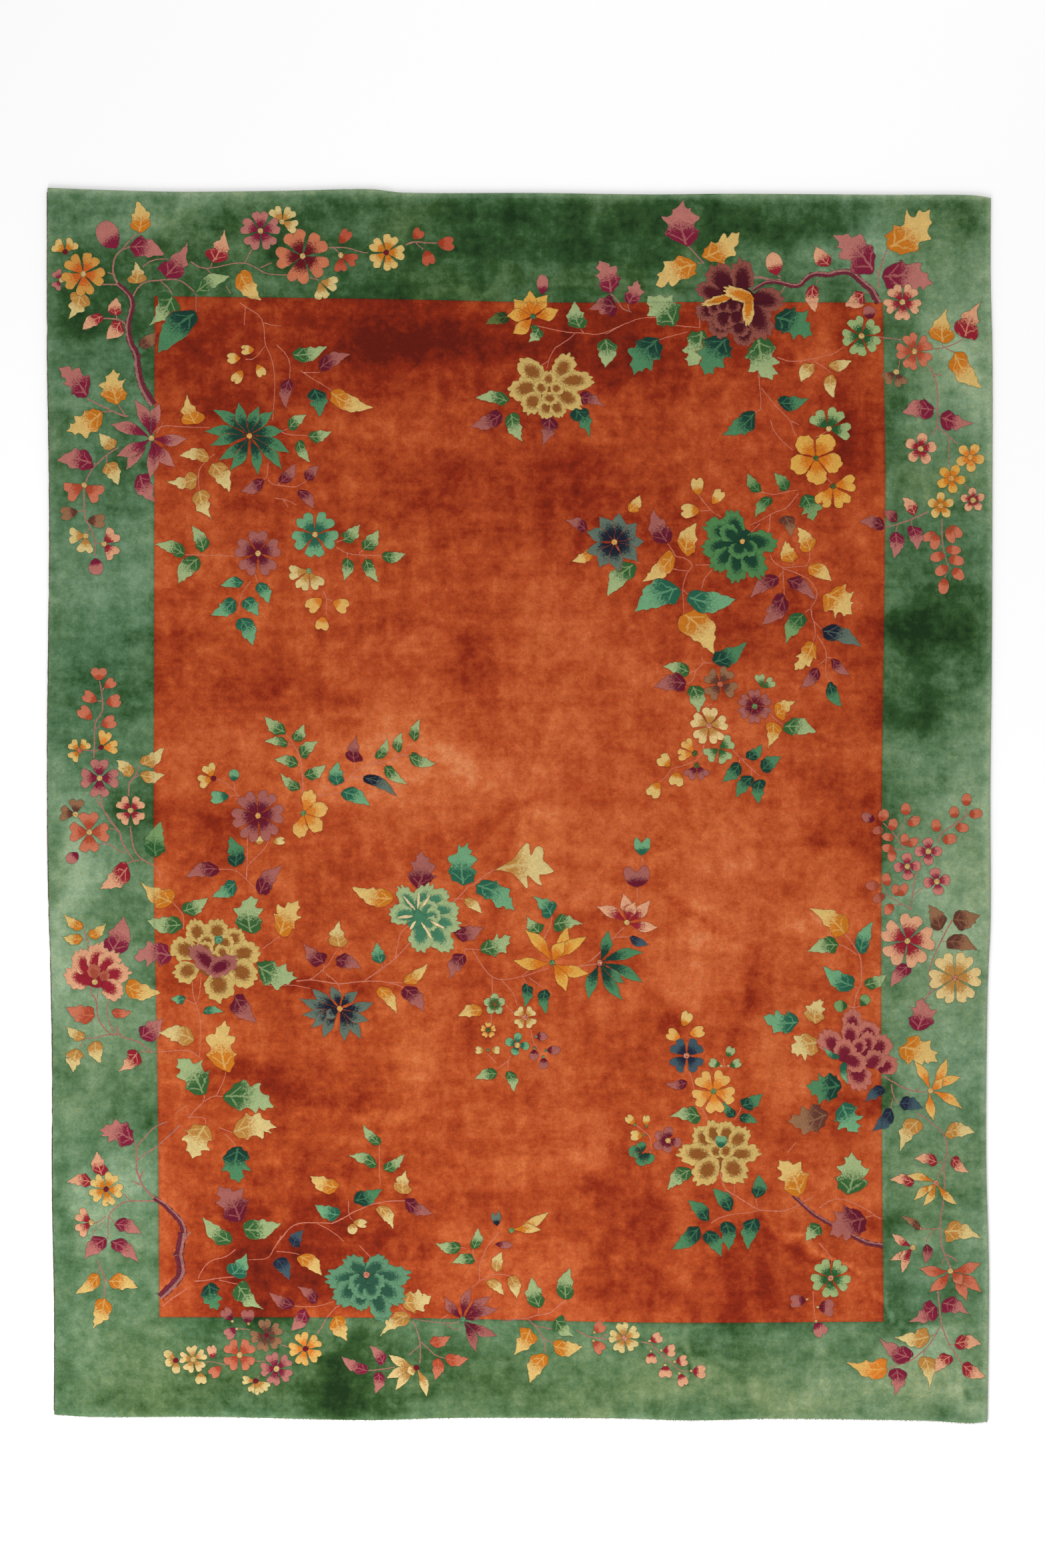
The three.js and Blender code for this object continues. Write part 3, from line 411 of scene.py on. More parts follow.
LEAVES["heart", "amber"] = [
    (-566, 591, -606, 560, 42), (-533, 583, -490, 563, 42), (-561, 539, -568, 501, 42),
    (458, -665, 420, -647, 34), (484, -652, 526, -640, 33),
]
LEAVES["heart", "coral"] = [
    (-1201, 357, -1201, 394, 47), (-1185, 336, -1156, 358, 30), (-1206, 298, -1246, 319, 35),
    (-1181, 293, -1139, 302, 36), (-1221, 247, -1257, 278, 38), (-1195, 230, -1153, 245, 38),
    (-853, -1600, -883, -1626, 32), (211, -1502, 240, -1477, 35), (210, -1528, 238, -1557, 34),
]
LEAVES["heart", "gold"] = [
    (-758, 1301, -795, 1301, 30), (-797, 1276, -836, 1277, 30), (-791, 1242, -818, 1207, 34),
    (-749, 1259, -733, 1225, 30), (510, 886, 504, 935, 36), (549, 861, 578, 899, 34),
    (513, 842, 460, 840, 40), (429, 113, 398, 140, 40), (453, 96, 442, 57, 42), (398, 66, 373, 25, 42),
    (465, -628, 482, -588, 34), (328, -909, 304, -885, 25), (362, -913, 361, -882, 23),
    (352, -941, 315, -940, 30),
]
LEAVES["heart", "mint"] = [(-831, 28, -883, 23, 36)]
LEAVES["heart", "olive"] = [
    (592, -717, 607, -688, 27), (571, -741, 540, -729, 27), (600, -743, 631, -730, 27),
]
LEAVES["heart", "peach"] = [
    (-874, -1577, -882, -1540, 28), (374, -1529, 404, -1510, 32), (409, -1554, 445, -1555, 35),
    (375, -1560, 375, -1592, 34), (446, -1587, 478, -1580, 32), (416, -1598, 416, -1632, 37),
    (493, -1615, 531, -1614, 39), (457, -1621, 470, -1655, 31),
]
LEAVES["heart", "plum"] = [
    (-820, -1468, -847, -1436, 34), (-776, -1478, -777, -1438, 37), (817, -1411, 772, -1415, 36),
    (853, -1430, 897, -1433, 46),
]
LEAVES["heart", "rose"] = [(-811, -1491, -840, -1515, 33), (843, -1474, 867, -1511, 40)]
LEAVES["heart", "rust"] = [
    (-514, 1604, -487, 1642, 34), (-304, 1617, -281, 1643, 34), (-269, 1585, -256, 1543, 38),
    (-235, 1604, -188, 1604, 42),
]
LEAVES["heart", "straw"] = [
    (-743, -112, -745, -86, 28), (-706, -104, -671, -98, 22), (-476, -1187, -437, -1194, 25),
    (-101, -697, -127, -697, 22), (-82, -697, -56, -697, 23), (-910, -1617, -910, -1650, 33),
]
LEAVES["heart", "umber"] = [(-1262, 838, -1311, 831, 40), (-1232, 814, -1182, 812, 40)]
LEAVES["ivy", "amber"] = [(1048, -1606, 932, -1587, 60)]
LEAVES["ivy", "gold"] = [
    (1208, 1319, 1218, 1419, 68), (-925, 1088, -950, 1174, 62), (730, 258, 790, 299, 48),
    (723, 239, 707, 163, 47), (-990, -276, -1083, -215, 62), (929, -367, 825, -292, 68),
    (30, -1491, -21, -1570, 56),
]
LEAVES["ivy", "mint"] = [(92, -314, 37, -258, 52), (-822, -1339, -780, -1276, 62)]
LEAVES["ivy", "olive"] = [
    (-992, 1456, -1058, 1370, 78), (55, 1363, 24, 1321, 42), (57, -363, 20, -313, 48),
    (96, -340, 182, -338, 50), (516, -886, 426, -888, 48), (-806, -1366, -731, -1437, 56),
    (101, -1464, 157, -1516, 50),
]
LEAVES["ivy", "peach"] = [
    (-878, 1549, -843, 1644, 64), (1271, 1334, 1315, 1436, 66), (-1091, -701, -1146, -759, 50),
]
LEAVES["ivy", "plum"] = [
    (278, 1423, 194, 1415, 60), (85, 1112, 61, 1024, 48), (166, 1165, 243, 1139, 42),
    (-472, 124, -465, 201, 48), (-557, -449, -620, -388, 50),
]
LEAVES["ivy", "rose"] = [
    (-1014, 1510, -948, 1608, 66), (1201, 1110, 1296, 1092, 60), (1187, -1426, 1108, -1472, 54),
    (1205, -1419, 1283, -1452, 50), (1115, -1575, 1024, -1517, 52), (1074, -1605, 1071, -1683, 52),
]
LEAVES["ivy", "straw"] = [
    (-1253, 1464, -1288, 1389, 62), (-1095, 1489, -1098, 1554, 52), (-920, 933, -1010, 925, 44),
    (-914, 901, -878, 817, 54), (-514, -404, -515, -326, 54), (-333, -1108, -324, -1037, 52),
    (1139, -896, 1084, -987, 56), (1209, -1215, 1320, -1236, 62), (-317, -1453, -400, -1515, 48),
    (1170, -1513, 1067, -1515, 54), (1153, -1571, 1168, -1662, 50),
]
LEAVES["ivy", "teal"] = [(157, 1133, 200, 1051, 54)]
LEAVES["ivy", "umber"] = [(755, 828, 775, 762, 45)]
LEAVES["maple", "fern"] = [(811, 886, 836, 812, 62)]
LEAVES["maple", "gold"] = [
    (-1146, 1144, -1160, 1246, 75), (506, 1545, 387, 1484, 80), (522, 1563, 628, 1636, 72),
    (1050, 1590, 1171, 1702, 104), (-1192, 1123, -1295, 1069, 70), (869, 604, 948, 546, 92),
    (837, 467, 783, 387, 54), (-838, -758, -841, -610, 80), (-683, -370, -631, -269, 72),
    (800, -1110, 739, -1011, 80), (1083, -689, 1192, -731, 82),
]
LEAVES["maple", "mint"] = [
    (-160, -229, -149, -104, 82), (-126, -225, -14, -300, 66), (796, -617, 694, -602, 66),
    (921, -849, 966, -932, 76),
]
LEAVES["maple", "olive"] = [
    (442, 1369, 365, 1455, 88), (519, 1358, 480, 1253, 84), (682, 1336, 722, 1214, 92),
    (-766, -365, -766, -256, 82), (-751, -455, -635, -492, 70), (-113, -412, -25, -371, 58),
    (-903, -825, -978, -721, 86), (-847, -829, -699, -862, 82), (935, -1110, 947, -987, 90),
]
LEAVES["maple", "plum"] = [
    (-292, -238, -281, -128, 72), (-798, -1187, -860, -1084, 82), (987, -1177, 884, -1224, 94),
]
LEAVES["maple", "rose"] = [
    (-1235, 1166, -1316, 1250, 72), (260, 1461, 226, 1556, 70), (307, 1431, 336, 1501, 50),
    (477, 1595, 466, 1728, 105), (1010, 1522, 893, 1628, 96), (1033, 1508, 1180, 1488, 92),
    (-990, -429, -1102, -432, 72), (1133, -642, 1149, -548, 74), (-1100, -957, -1202, -925, 68),
]
LEAVES["fingered", "straw"] = [(-72, -183, 98, -187, 122)]
LEAVES["maple", "straw"] = [
    (842, -623, 857, -550, 60), (-896, -910, -934, -1008, 84), (-820, -931, -693, -918, 72),
    (850, -674, 775, -706, 76), (-336, -1418, -252, -1398, 64),
]
LEAVES["maple", "teal"] = [
    (397, 1333, 325, 1228, 86), (593, 1335, 527, 1228, 84), (727, 1393, 836, 1342, 84),
    (-804, -972, -801, -1076, 78), (917, -796, 816, -798, 84), (-887, -1361, -862, -1440, 56),
]
LEAVES["maple", "umber"] = [(880, -878, 764, -900, 78)]
LEAVES["ovate", "gold"] = [(822, 683, 890, 641, 44)]
LEAVES["ovate", "mint"] = [(-788, 635, -854, 627, 32)]
LEAVES["ovate", "peach"] = [
    (-1151, 1397, -1153, 1450, 39), (-1189, 1397, -1250, 1356, 36), (-1140, 1384, -1180, 1331, 44),
    (838, 1488, 844, 1407, 42), (883, 1541, 844, 1597, 46), (982, 1464, 929, 1424, 44),
    (1127, 828, 1092, 880, 34),
]
LEAVES["ovate", "plum"] = [
    (-685, 921, -641, 977, 36), (-607, 926, -572, 971, 34), (-731, 930, -797, 897, 36),
    (-633, 901, -586, 845, 32), (1076, 811, 1037, 841, 32), (890, 420, 943, 372, 28),
    (852, 394, 800, 337, 36), (1161, -1250, 1156, -1306, 28),
]
LEAVES["ovate", "slate"] = [(313, -374, 368, -395, 27)]
LEAVES["ovate", "straw"] = [
    (838, 1263, 802, 1209, 40), (880, 1256, 947, 1268, 34), (888, 1231, 894, 1164, 36),
    (-160, -265, -108, -308, 30),
]
LEAVES["ovate", "teal"] = [
    (-924, 1407, -1032, 1291, 80), (884, 352, 917, 281, 36), (673, -1120, 682, -1050, 42),
    (602, -1156, 550, -1092, 42), (537, -1187, 480, -1125, 40),
]
LEAVES["ovate", "umber"] = [(-1086, 1308, -1038, 1352, 38)]
LEAVES["petal", "fern"] = [(973, -570, 996, -541, 31), (935, -570, 896, -572, 34)]
LEAVES["petal", "mint"] = [(-816, 70, -816, 105, 30)]
LEAVES["petal", "peach"] = [(735, 1513, 718, 1579, 48)]
LEAVES["petal", "plum"] = [
    (1000, 1388, 995, 1427, 38), (46, -659, 80, -658, 26), (42, -695, 39, -727, 26),
    (76, -698, 117, -697, 26), (69, -719, 67, -752, 27), (-71, -1251, -20, -1254, 20),
]
LEAVES["petal", "rose"] = [
    (-1150, 1590, -1197, 1664, 66), (66, 1458, 63, 1516, 33), (-1214, 706, -1205, 658, 42),
    (-1260, -136, -1294, -159, 34),
]
LEAVES["petal", "straw"] = [(-478, -1191, -478, -1223, 30)]
LEAVES["tulip", "mint"] = [(349, -142, 348, -90, 46)]
LEAVES["tulip", "navy"] = [(-65, -1199, -70, -1157, 28)]
LEAVES["tulip", "plum"] = [(335, -233, 332, -172, 74)]
LEAVES["wavy", "coral"] = [
    (-1212, -598, -1296, -576, 54), (-1165, -589, -1105, -587, 28), (-258, -1533, -196, -1513, 36),
    (-212, -1577, -146, -1577, 36), (-235, -1576, -242, -1639, 35),
]
LEAVES["wavy", "fern"] = [
    (685, 895, 649, 951, 36), (762, 898, 725, 949, 38), (717, 879, 671, 822, 32), (811, 548, 759, 463, 48),
    (-1039, -148, -1024, -45, 62),
]
LEAVES["wavy", "gold"] = [
    (-1086, 1635, -1091, 1725, 60), (-798, 1521, -738, 1441, 56), (-541, 1180, -418, 1135, 52),
    (1239, 1294, 1317, 1190, 62), (206, 727, 149, 697, 32), (312, 839, 344, 887, 36),
    (472, 717, 504, 807, 56), (438, 717, 349, 640, 50), (781, 696, 757, 756, 46), (828, 724, 792, 795, 48),
    (467, 548, 556, 432, 90), (-1246, -348, -1301, -309, 30), (-1229, -374, -1181, -335, 31),
    (-1248, -378, -1306, -375, 33), (-1127, -512, -1026, -535, 54), (-361, -265, -479, -233, 56),
    (-333, -504, -263, -450, 38), (-404, -519, -351, -594, 38), (-107, -583, -176, -600, 38),
    (-519, -1089, -601, -1055, 46), (-1201, -1336, -1268, -1392, 40), (-1176, -1357, -1089, -1376, 48),
    (-1185, -1402, -1219, -1492, 52), (-630, -1284, -564, -1342, 46), (-526, -1456, -492, -1527, 48),
    (95, -1541, 180, -1542, 50), (73, -1566, 28, -1648, 50),
]
LEAVES["wavy", "mint"] = [
    (-813, 587, -882, 545, 44), (-748, 634, -716, 577, 40), (-787, 588, -746, 541, 44),
    (455, 621, 327, 553, 80), (478, 596, 617, 589, 68), (-798, 535, -762, 456, 48),
    (-519, 60, -519, 127, 42), (-508, 40, -428, -1, 44), (-811, -220, -878, -260, 44),
    (-954, -551, -997, -549, 28), (-905, -587, -845, -589, 26), (-395, -449, -408, -389, 39),
    (973, -421, 1006, -330, 47), (954, -515, 866, -458, 52), (-514, -1168, -586, -1138, 46),
]
LEAVES["wavy", "moss"] = [(-30, 1394, -99, 1373, 36)]
LEAVES["wavy", "navy"] = [(-446, 81, -351, 27, 32), (862, 499, 974, 453, 46)]
LEAVES["wavy", "olive"] = [
    (-926, 1463, -827, 1510, 47), (-648, 1286, -550, 1311, 44), (173, 1361, 156, 1439, 54),
    (243, 1333, 243, 1249, 57), (-902, 725, -938, 800, 42), (-955, 716, -1041, 746, 40),
    (-915, 707, -976, 632, 56), (-658, 1076, -609, 1116, 36), (-603, 1053, -536, 1068, 36),
    (-632, 1043, -599, 979, 32), (-507, 756, -457, 803, 40), (-448, 731, -403, 788, 42),
    (-392, 712, -325, 719, 36), (-492, 706, -503, 642, 35), (-440, 704, -403, 638, 36),
    (-33, 1153, -127, 1163, 38), (-25, 1121, 8, 1039, 46), (326, 690, 251, 597, 60),
    (-668, 209, -729, 255, 38), (-647, 186, -615, 233, 34), (-662, 176, -729, 183, 28),
    (-625, 139, -576, 184, 36), (-634, 117, -702, 132, 36), (-613, 85, -553, 118, 36),
    (-627, 47, -684, 93, 30), (-408, 134, -378, 194, 30), (-350, 154, -336, 210, 30),
    (-301, 185, -284, 249, 30), (-318, 143, -236, 120, 36), (-384, 113, -322, 62, 32),
    (484, 380, 407, 397, 38), (493, 343, 509, 266, 50), (753, 226, 846, 209, 52),
    (-963, -301, -889, -261, 46), (-963, -338, -1064, -327, 52), (911, -397, 821, -417, 46),
    (984, -512, 1048, -480, 38), (-822, -1245, -905, -1173, 50), (-399, -965, -447, -909, 31),
    (-408, -1025, -490, -998, 35), (-389, -1040, -330, -994, 35), (-789, -1208, -682, -1191, 60),
    (-64, -764, -128, -780, 34), (-34, -757, -17, -816, 32), (-132, -1264, -120, -1204, 34),
    (-168, -1260, -241, -1249, 35), (488, -1038, 420, -1098, 46), (859, -1199, 815, -1240, 42),
    (-129, -1294, -195, -1305, 32), (57, -1432, 35, -1345, 52), (132, -1409, 144, -1316, 50),
]
LEAVES["wavy", "peach"] = [
    (-1118, -173, -1200, -238, 56), (-1191, -1055, -1205, -984, 42), (-1221, -1074, -1294, -1074, 37),
    (1192, -1018, 1123, -1007, 34), (1233, -1004, 1281, -1046, 33), (1125, -1076, 1055, -1067, 34),
    (1241, -1535, 1319, -1537, 46), (1231, -1568, 1185, -1617, 42), (1264, -1596, 1330, -1629, 42),
]
LEAVES["wavy", "plum"] = [
    (-574, 1245, -482, 1288, 42), (-657, 1219, -667, 1133, 38), (-52, 1118, -143, 1082, 46),
    (190, 786, 131, 815, 34), (423, 749, 381, 846, 56), (740, 651, 657, 594, 42), (762, 645, 845, 588, 43),
    (755, 600, 691, 516, 54), (1042, 796, 969, 811, 38), (476, 348, 382, 338, 52),
    (-860, -181, -955, -203, 44), (-813, -542, -752, -618, 54), (-743, -254, -678, -168, 48),
    (-527, -440, -452, -464, 42), (-330, -521, -275, -586, 48), (-188, -365, -101, -346, 46),
    (-158, -423, -199, -493, 44), (-327, -1127, -244, -1165, 42), (478, -789, 415, -793, 28),
    (-644, -1427, -716, -1388, 36), (-579, -1419, -635, -1372, 34),
]
LEAVES["wavy", "rose"] = [
    (-1112, 1594, -1014, 1573, 57), (-1219, 976, -1322, 985, 60), (-1085, 947, -1041, 866, 56),
    (1180, 1129, 1090, 1122, 58), (1071, 781, 1067, 705, 44), (1118, 798, 1134, 729, 40),
    (-1168, -421, -1132, -315, 76), (-1084, -660, -1018, -605, 58), (1112, -455, 1057, -521, 40),
    (-1157, -1193, -1079, -1222, 44), (-1180, -1234, -1241, -1292, 48), (-1167, -1242, -1088, -1303, 42),
    (-611, -1439, -654, -1499, 42), (-433, -1612, -511, -1570, 36), (-388, -1594, -430, -1540, 33),
    (-403, -1616, -412, -1677, 35),
]
LEAVES["wavy", "slate"] = [
    (-647, -1260, -620, -1210, 40), (1041, -806, 986, -846, 34), (1083, -850, 1151, -862, 42),
    (1062, -866, 1006, -929, 40), (-697, -1292, -658, -1354, 42),
]
LEAVES["wavy", "straw"] = [
    (-1154, 1022, -1201, 1064, 40), (-1181, 978, -1146, 914, 46), (-886, 993, -972, 998, 40),
    (-880, 977, -829, 894, 54), (-1109, 83, -1152, 131, 40), (-1082, 117, -1015, 166, 42),
    (-1084, 87, -1012, 90, 36), (-928, -669, -1032, -648, 56), (-1242, -663, -1296, -628, 32),
    (-1211, -671, -1198, -735, 47), (-1261, -694, -1275, -760, 46), (-404, -1142, -362, -1207, 36),
    (1215, -932, 1299, -932, 46), (-67, -1330, -50, -1272, 37), (-92, -1354, -47, -1396, 32),
    (-27, -1342, -10, -1406, 38),
]
LEAVES["wavy", "teal"] = [
    (-588, 1191, -573, 1109, 52), (672, 1122, 577, 1058, 58), (551, 409, 648, 467, 58),
    (649, 134, 692, 175, 36), (691, 100, 746, 140, 42), (627, 121, 577, 69, 40), (664, 83, 617, 23, 40),
    (687, 75, 681, 5, 42), (738, 1150, 824, 1162, 46), (-811, -176, -828, -86, 52),
    (19, -506, 13, -575, 37), (72, -523, 76, -594, 37), (-474, -1125, -391, -1093, 46),
    (632, -856, 695, -821, 40), (614, -886, 580, -844, 29), (625, -890, 680, -904, 30),
    (512, -1201, 433, -1266, 46), (529, -1215, 575, -1288, 46), (585, -1185, 595, -1270, 44),
    (672, -1176, 650, -1266, 50),
]
LEAVES["wavy", "umber"] = [
    (1200, -353, 1166, -283, 50), (1236, -325, 1314, -312, 56), (1218, -387, 1305, -412, 50),
    (1143, -1210, 1086, -1170, 23),
]
JAGGED = ("maple", "fingered", "wavy", "frilled")
SMALL = ("berry", "heart", "petal", "tulip")
EDGE_STEP = 4.2
EDGE_WANDER = 0.4
SMALL_UNEVEN, LEAF_UNEVEN = 0.02, 0.032
SMALL_REACH, LEAF_REACH = 0.42, 0.48  # where the two shades meet
LEAF_BOW = 0.09
PALE_RIM = 0.1


def motif(kind, form, x, y, tip_x, tip_y, width, dye, uneven=SMALL_UNEVEN, **placed):
    """Knots one leaf or petal in, from its stalk along to its tip. Its two sides are never quite alike."""
    stalk = np.array((x, y), float)
    along = np.array((tip_x, tip_y), float) - stalk
    length = np.hypot(*along)
    heading = along / length
    side = np.array([-heading[1], heading[0]])
    sides = []
    for sign in (1, -1):
        far, out = np.array(FORMS[form], float).T
        far[1:-1] += chance.normal(0, uneven, len(far) - 2)
        out = out * chance.normal(1, 2 * uneven, len(out)) * chance.normal(1, uneven)
        sides.append(np.stack([far * length, sign * out * width / 2], axis=1))
    half = np.vstack([sides[0], sides[1][::-1]])
    edge = evenly(rounded(half, 1 if form in JAGGED else 2, True), EDGE_STEP, True)
    edge += chance.normal(0, EDGE_WANDER, edge.shape)
    bow = placed.get("bow", 0) * length * np.sin(np.pi * np.clip(edge[:, 0] / length, 0, 1))
    outline = stalk + edge[:, :1] * heading + (edge[:, 1] + bow)[:, None] * side
    frame_of = {"stalk": stalk, "heading": heading, "length": length, "half_width": width / 2}
    knot_in(kind, outline, dye, shaded=True, **(frame_of | placed))


for (form, dye), rows in LEAVES.items():
    small = form in SMALL
    uneven, reach = (SMALL_UNEVEN, SMALL_REACH) if small else (LEAF_UNEVEN, LEAF_REACH)
    for row in rows:
        bow = 0 if small else chance.choice([-LEAF_BOW, LEAF_BOW])
        motif("leaf", form, *row, dye, uneven, bow=bow, reach=reach, rim=PALE_RIM, veined=not small)


# ---------------------------------------------------------------- blossoms
# Open flowers with notched, round or long curved petals, each dark at the heart and pale at its edge. A dot
# of a few knots in another dye fills the centre. Every petal is clipped apart from the next.

mix_dyes(
    marigold=((206, 114, 22), (218, 164, 72)),
    tangerine=((198, 92, 28), (204, 146, 66)),
    sage=((34, 86, 42), (152, 172, 114)),
    sand=((182, 128, 60), (222, 192, 130)),
    pink=((142, 36, 58), (198, 120, 108)),
    salmon=((100, 12, 24), (200, 116, 80)),
    maroon=((100, 12, 26), (112, 18, 32)),
)
FORMS.update(
    {
        "notched": [(0.06, 0.12), (0.2, 0.28), (0.4, 0.54), (0.6, 0.81), (0.77, 1.02), (0.92, 0.98),
                    (1.04, 0.6), (1.02, 0.28), (0.94, 0.1), (0.88, 0)],
        "round": [(0.06, 0.16), (0.2, 0.42), (0.44, 0.86), (0.68, 1.04), (0.88, 0.86), (0.99, 0.44),
                  (1.01, 0.1)],
        "pointed": [(0.06, 0.08), (0.2, 0.28), (0.36, 0.66), (0.52, 1.02), (0.68, 0.98), (0.82, 0.6),
                    (0.93, 0.24), (1.02, 0.04)],
        "lobed": [(0.06, 0.12), (0.2, 0.3), (0.42, 0.68), (0.58, 1.02), (0.68, 0.96), (0.72, 0.88),
                  (0.82, 0.96), (0.94, 0.7), (0.96, 0.36), (1.04, 0.22), (1.05, 0)],
    }
)

# Each row: its middle, radius, number of petals, the first one's angle, the angle to the next, and its heart.
BLOSSOMS = {}
BLOSSOMS["lobed", "amber"] = [(-618, -21, 76, 4, 70, -57, "fern")]
BLOSSOMS["lobed", "marigold"] = [(845, 992, 82, 5, -15, 72, "moss")]
BLOSSOMS["lobed", "olive"] = [(-72, -566, 34, 5, 90, 72, "none")]
BLOSSOMS["notched", "amber"] = [
    (-1195, 166, 52, 2, 72, -70, "maroon"), (499, 149, 52, 2, 127, 60, "moss"),
    (-90, -640, 24, 5, 90, 72, "moss"), (553, -815, 66, 5, 131, -72, "fern"),
    (-612, -1549, 51, 5, 107, -71, "maroon"),
]
BLOSSOMS["notched", "coral"] = [
    (1126, 1296, 56, 5, 108, 72, "straw"), (-1243, 915, 62, 2, 205, 120, "straw"),
    (-1229, -75, 60, 4, 0, 90, "straw"), (-800, -1567, 50, 4, 45, 90, "straw"),
]
BLOSSOMS["notched", "gold"] = [
    (-1297, 1580, 44, 2, 50, 95, "maroon"), (-381, 1578, 56, 5, 0, 72, "maroon"),
    (-1257, 158, 37, 3, 45, 92, "coral"), (-874, 78, 47, 2, 115, 80, "maroon"),
    (-1181, -1094, 52, 5, 65, 72, "maroon"),
]
BLOSSOMS["notched", "marigold"] = [(894, 912, 70, 3, 8, -66, "moss")]
BLOSSOMS["notched", "mint"] = [(-585, 774, 70, 5, 54, 72, "straw")]
BLOSSOMS["notched", "olive"] = [(691, 335, 44, 2, 100, -65, "none"), (568, 164, 48, 3, 215, 88, "none")]
BLOSSOMS["notched", "peach"] = [
    (1092, 1437, 56, 5, 270, 72, "straw"), (-1188, 747, 52, 2, 44, -90, "straw"),
    (-1111, -14, 46, 4, 45, 90, "straw"), (1106, -386, 82, 5, 80, -72, "straw"),
    (-1223, -1189, 52, 2, 143, 74, "straw"),
]
BLOSSOMS["notched", "plum"] = [
    (-747, 720, 70, 5, 90, 72, "straw"), (670, 284, 52, 6, 30, 60, "fern"),
    (505, 115, 46, 2, 232, 75, "moss"), (-747, -29, 80, 6, 65, 60, "gold"),
]
BLOSSOMS["notched", "rose"] = [
    (-1308, 1500, 34, 2, 125, 105, "straw"), (-740, 1640, 60, 5, 90, -72, "straw"),
    (-1199, 79, 58, 4, 0, 90, "straw"), (-694, -1606, 50, 5, 111, -72, "straw"),
]
BLOSSOMS["notched", "rust"] = [(-511, 1571, 52, 2, -22, -68, "straw")]
BLOSSOMS["notched", "salmon"] = [(-620, 1568, 82, 5, 113, -72, "straw")]
BLOSSOMS["notched", "sage"] = [
    (975, 1340, 60, 5, 112, 72, "straw"), (882, 1075, 66, 3, 135, -71, "straw"),
    (887, -1347, 60, 5, 124, -72, "peach"),
]
BLOSSOMS["notched", "sand"] = [
    (540, 228, 57, 5, 85, 72, "peach"), (1242, -491, 80, 6, 122, -60, "peach"),
    (-932, -1579, 42, 5, 99, -72, "straw"),
]
BLOSSOMS["notched", "slate"] = [(476, -713, 54, 4, 45, 90, "peach")]
BLOSSOMS["notched", "straw"] = [
    (-679, 1666, 50, 3, 122, -72, "straw"), (-572, 1496, 56, 2, -10, -70, "none"),
    (-1238, 770, 52, 2, 180, 85, "straw"), (-602, 670, 62, 3, 185, 60, "sage"),
    (15, -604, 36, 4, 45, 90, "peach"), (298, -1518, 47, 5, 100, -72, "peach"),
]
BLOSSOMS["notched", "tangerine"] = [(-1246, 1517, 66, 5, -11, 72, "straw")]
BLOSSOMS["notched", "umber"] = [
    (1074, 1238, 46, 2, -65, -80, "straw"), (-1268, -25, 47, 2, 85, 88, "straw"),
    (572, 347, 52, 4, -25, 84, "coral"), (-723, -1511, 50, 5, 98, -68, "maroon"),
]
BLOSSOMS["round", "amber"] = [(1285, 994, 46, 5, 60, 72, "amber")]
BLOSSOMS["round", "gold"] = [(1201, 856, 43, 5, 90, 72, "gold")]
BLOSSOMS["round", "marigold"] = [(1231, 933, 46, 5, -8, 72, "gold")]
BLOSSOMS["round", "peach"] = [(1144, 1018, 51, 5, 82, 72, "straw"), (1293, 872, 39, 5, 94, 72, "straw")]
BLOSSOMS["round", "pink"] = [
    (1166, -130, 43, 4, 0, 90, "straw"), (1106, -173, 43, 4, 4, 90, "straw"),
    (1190, -216, 43, 4, 10, 90, "straw"),
]
BLOSSOMS["pointed", "marigold"] = [(38, 1395, 82, 6, 15, 41, "teal")]
BLOSSOMS["pointed", "navy"] = [(270, 752, 92, 9, 0, 40, "gold")]

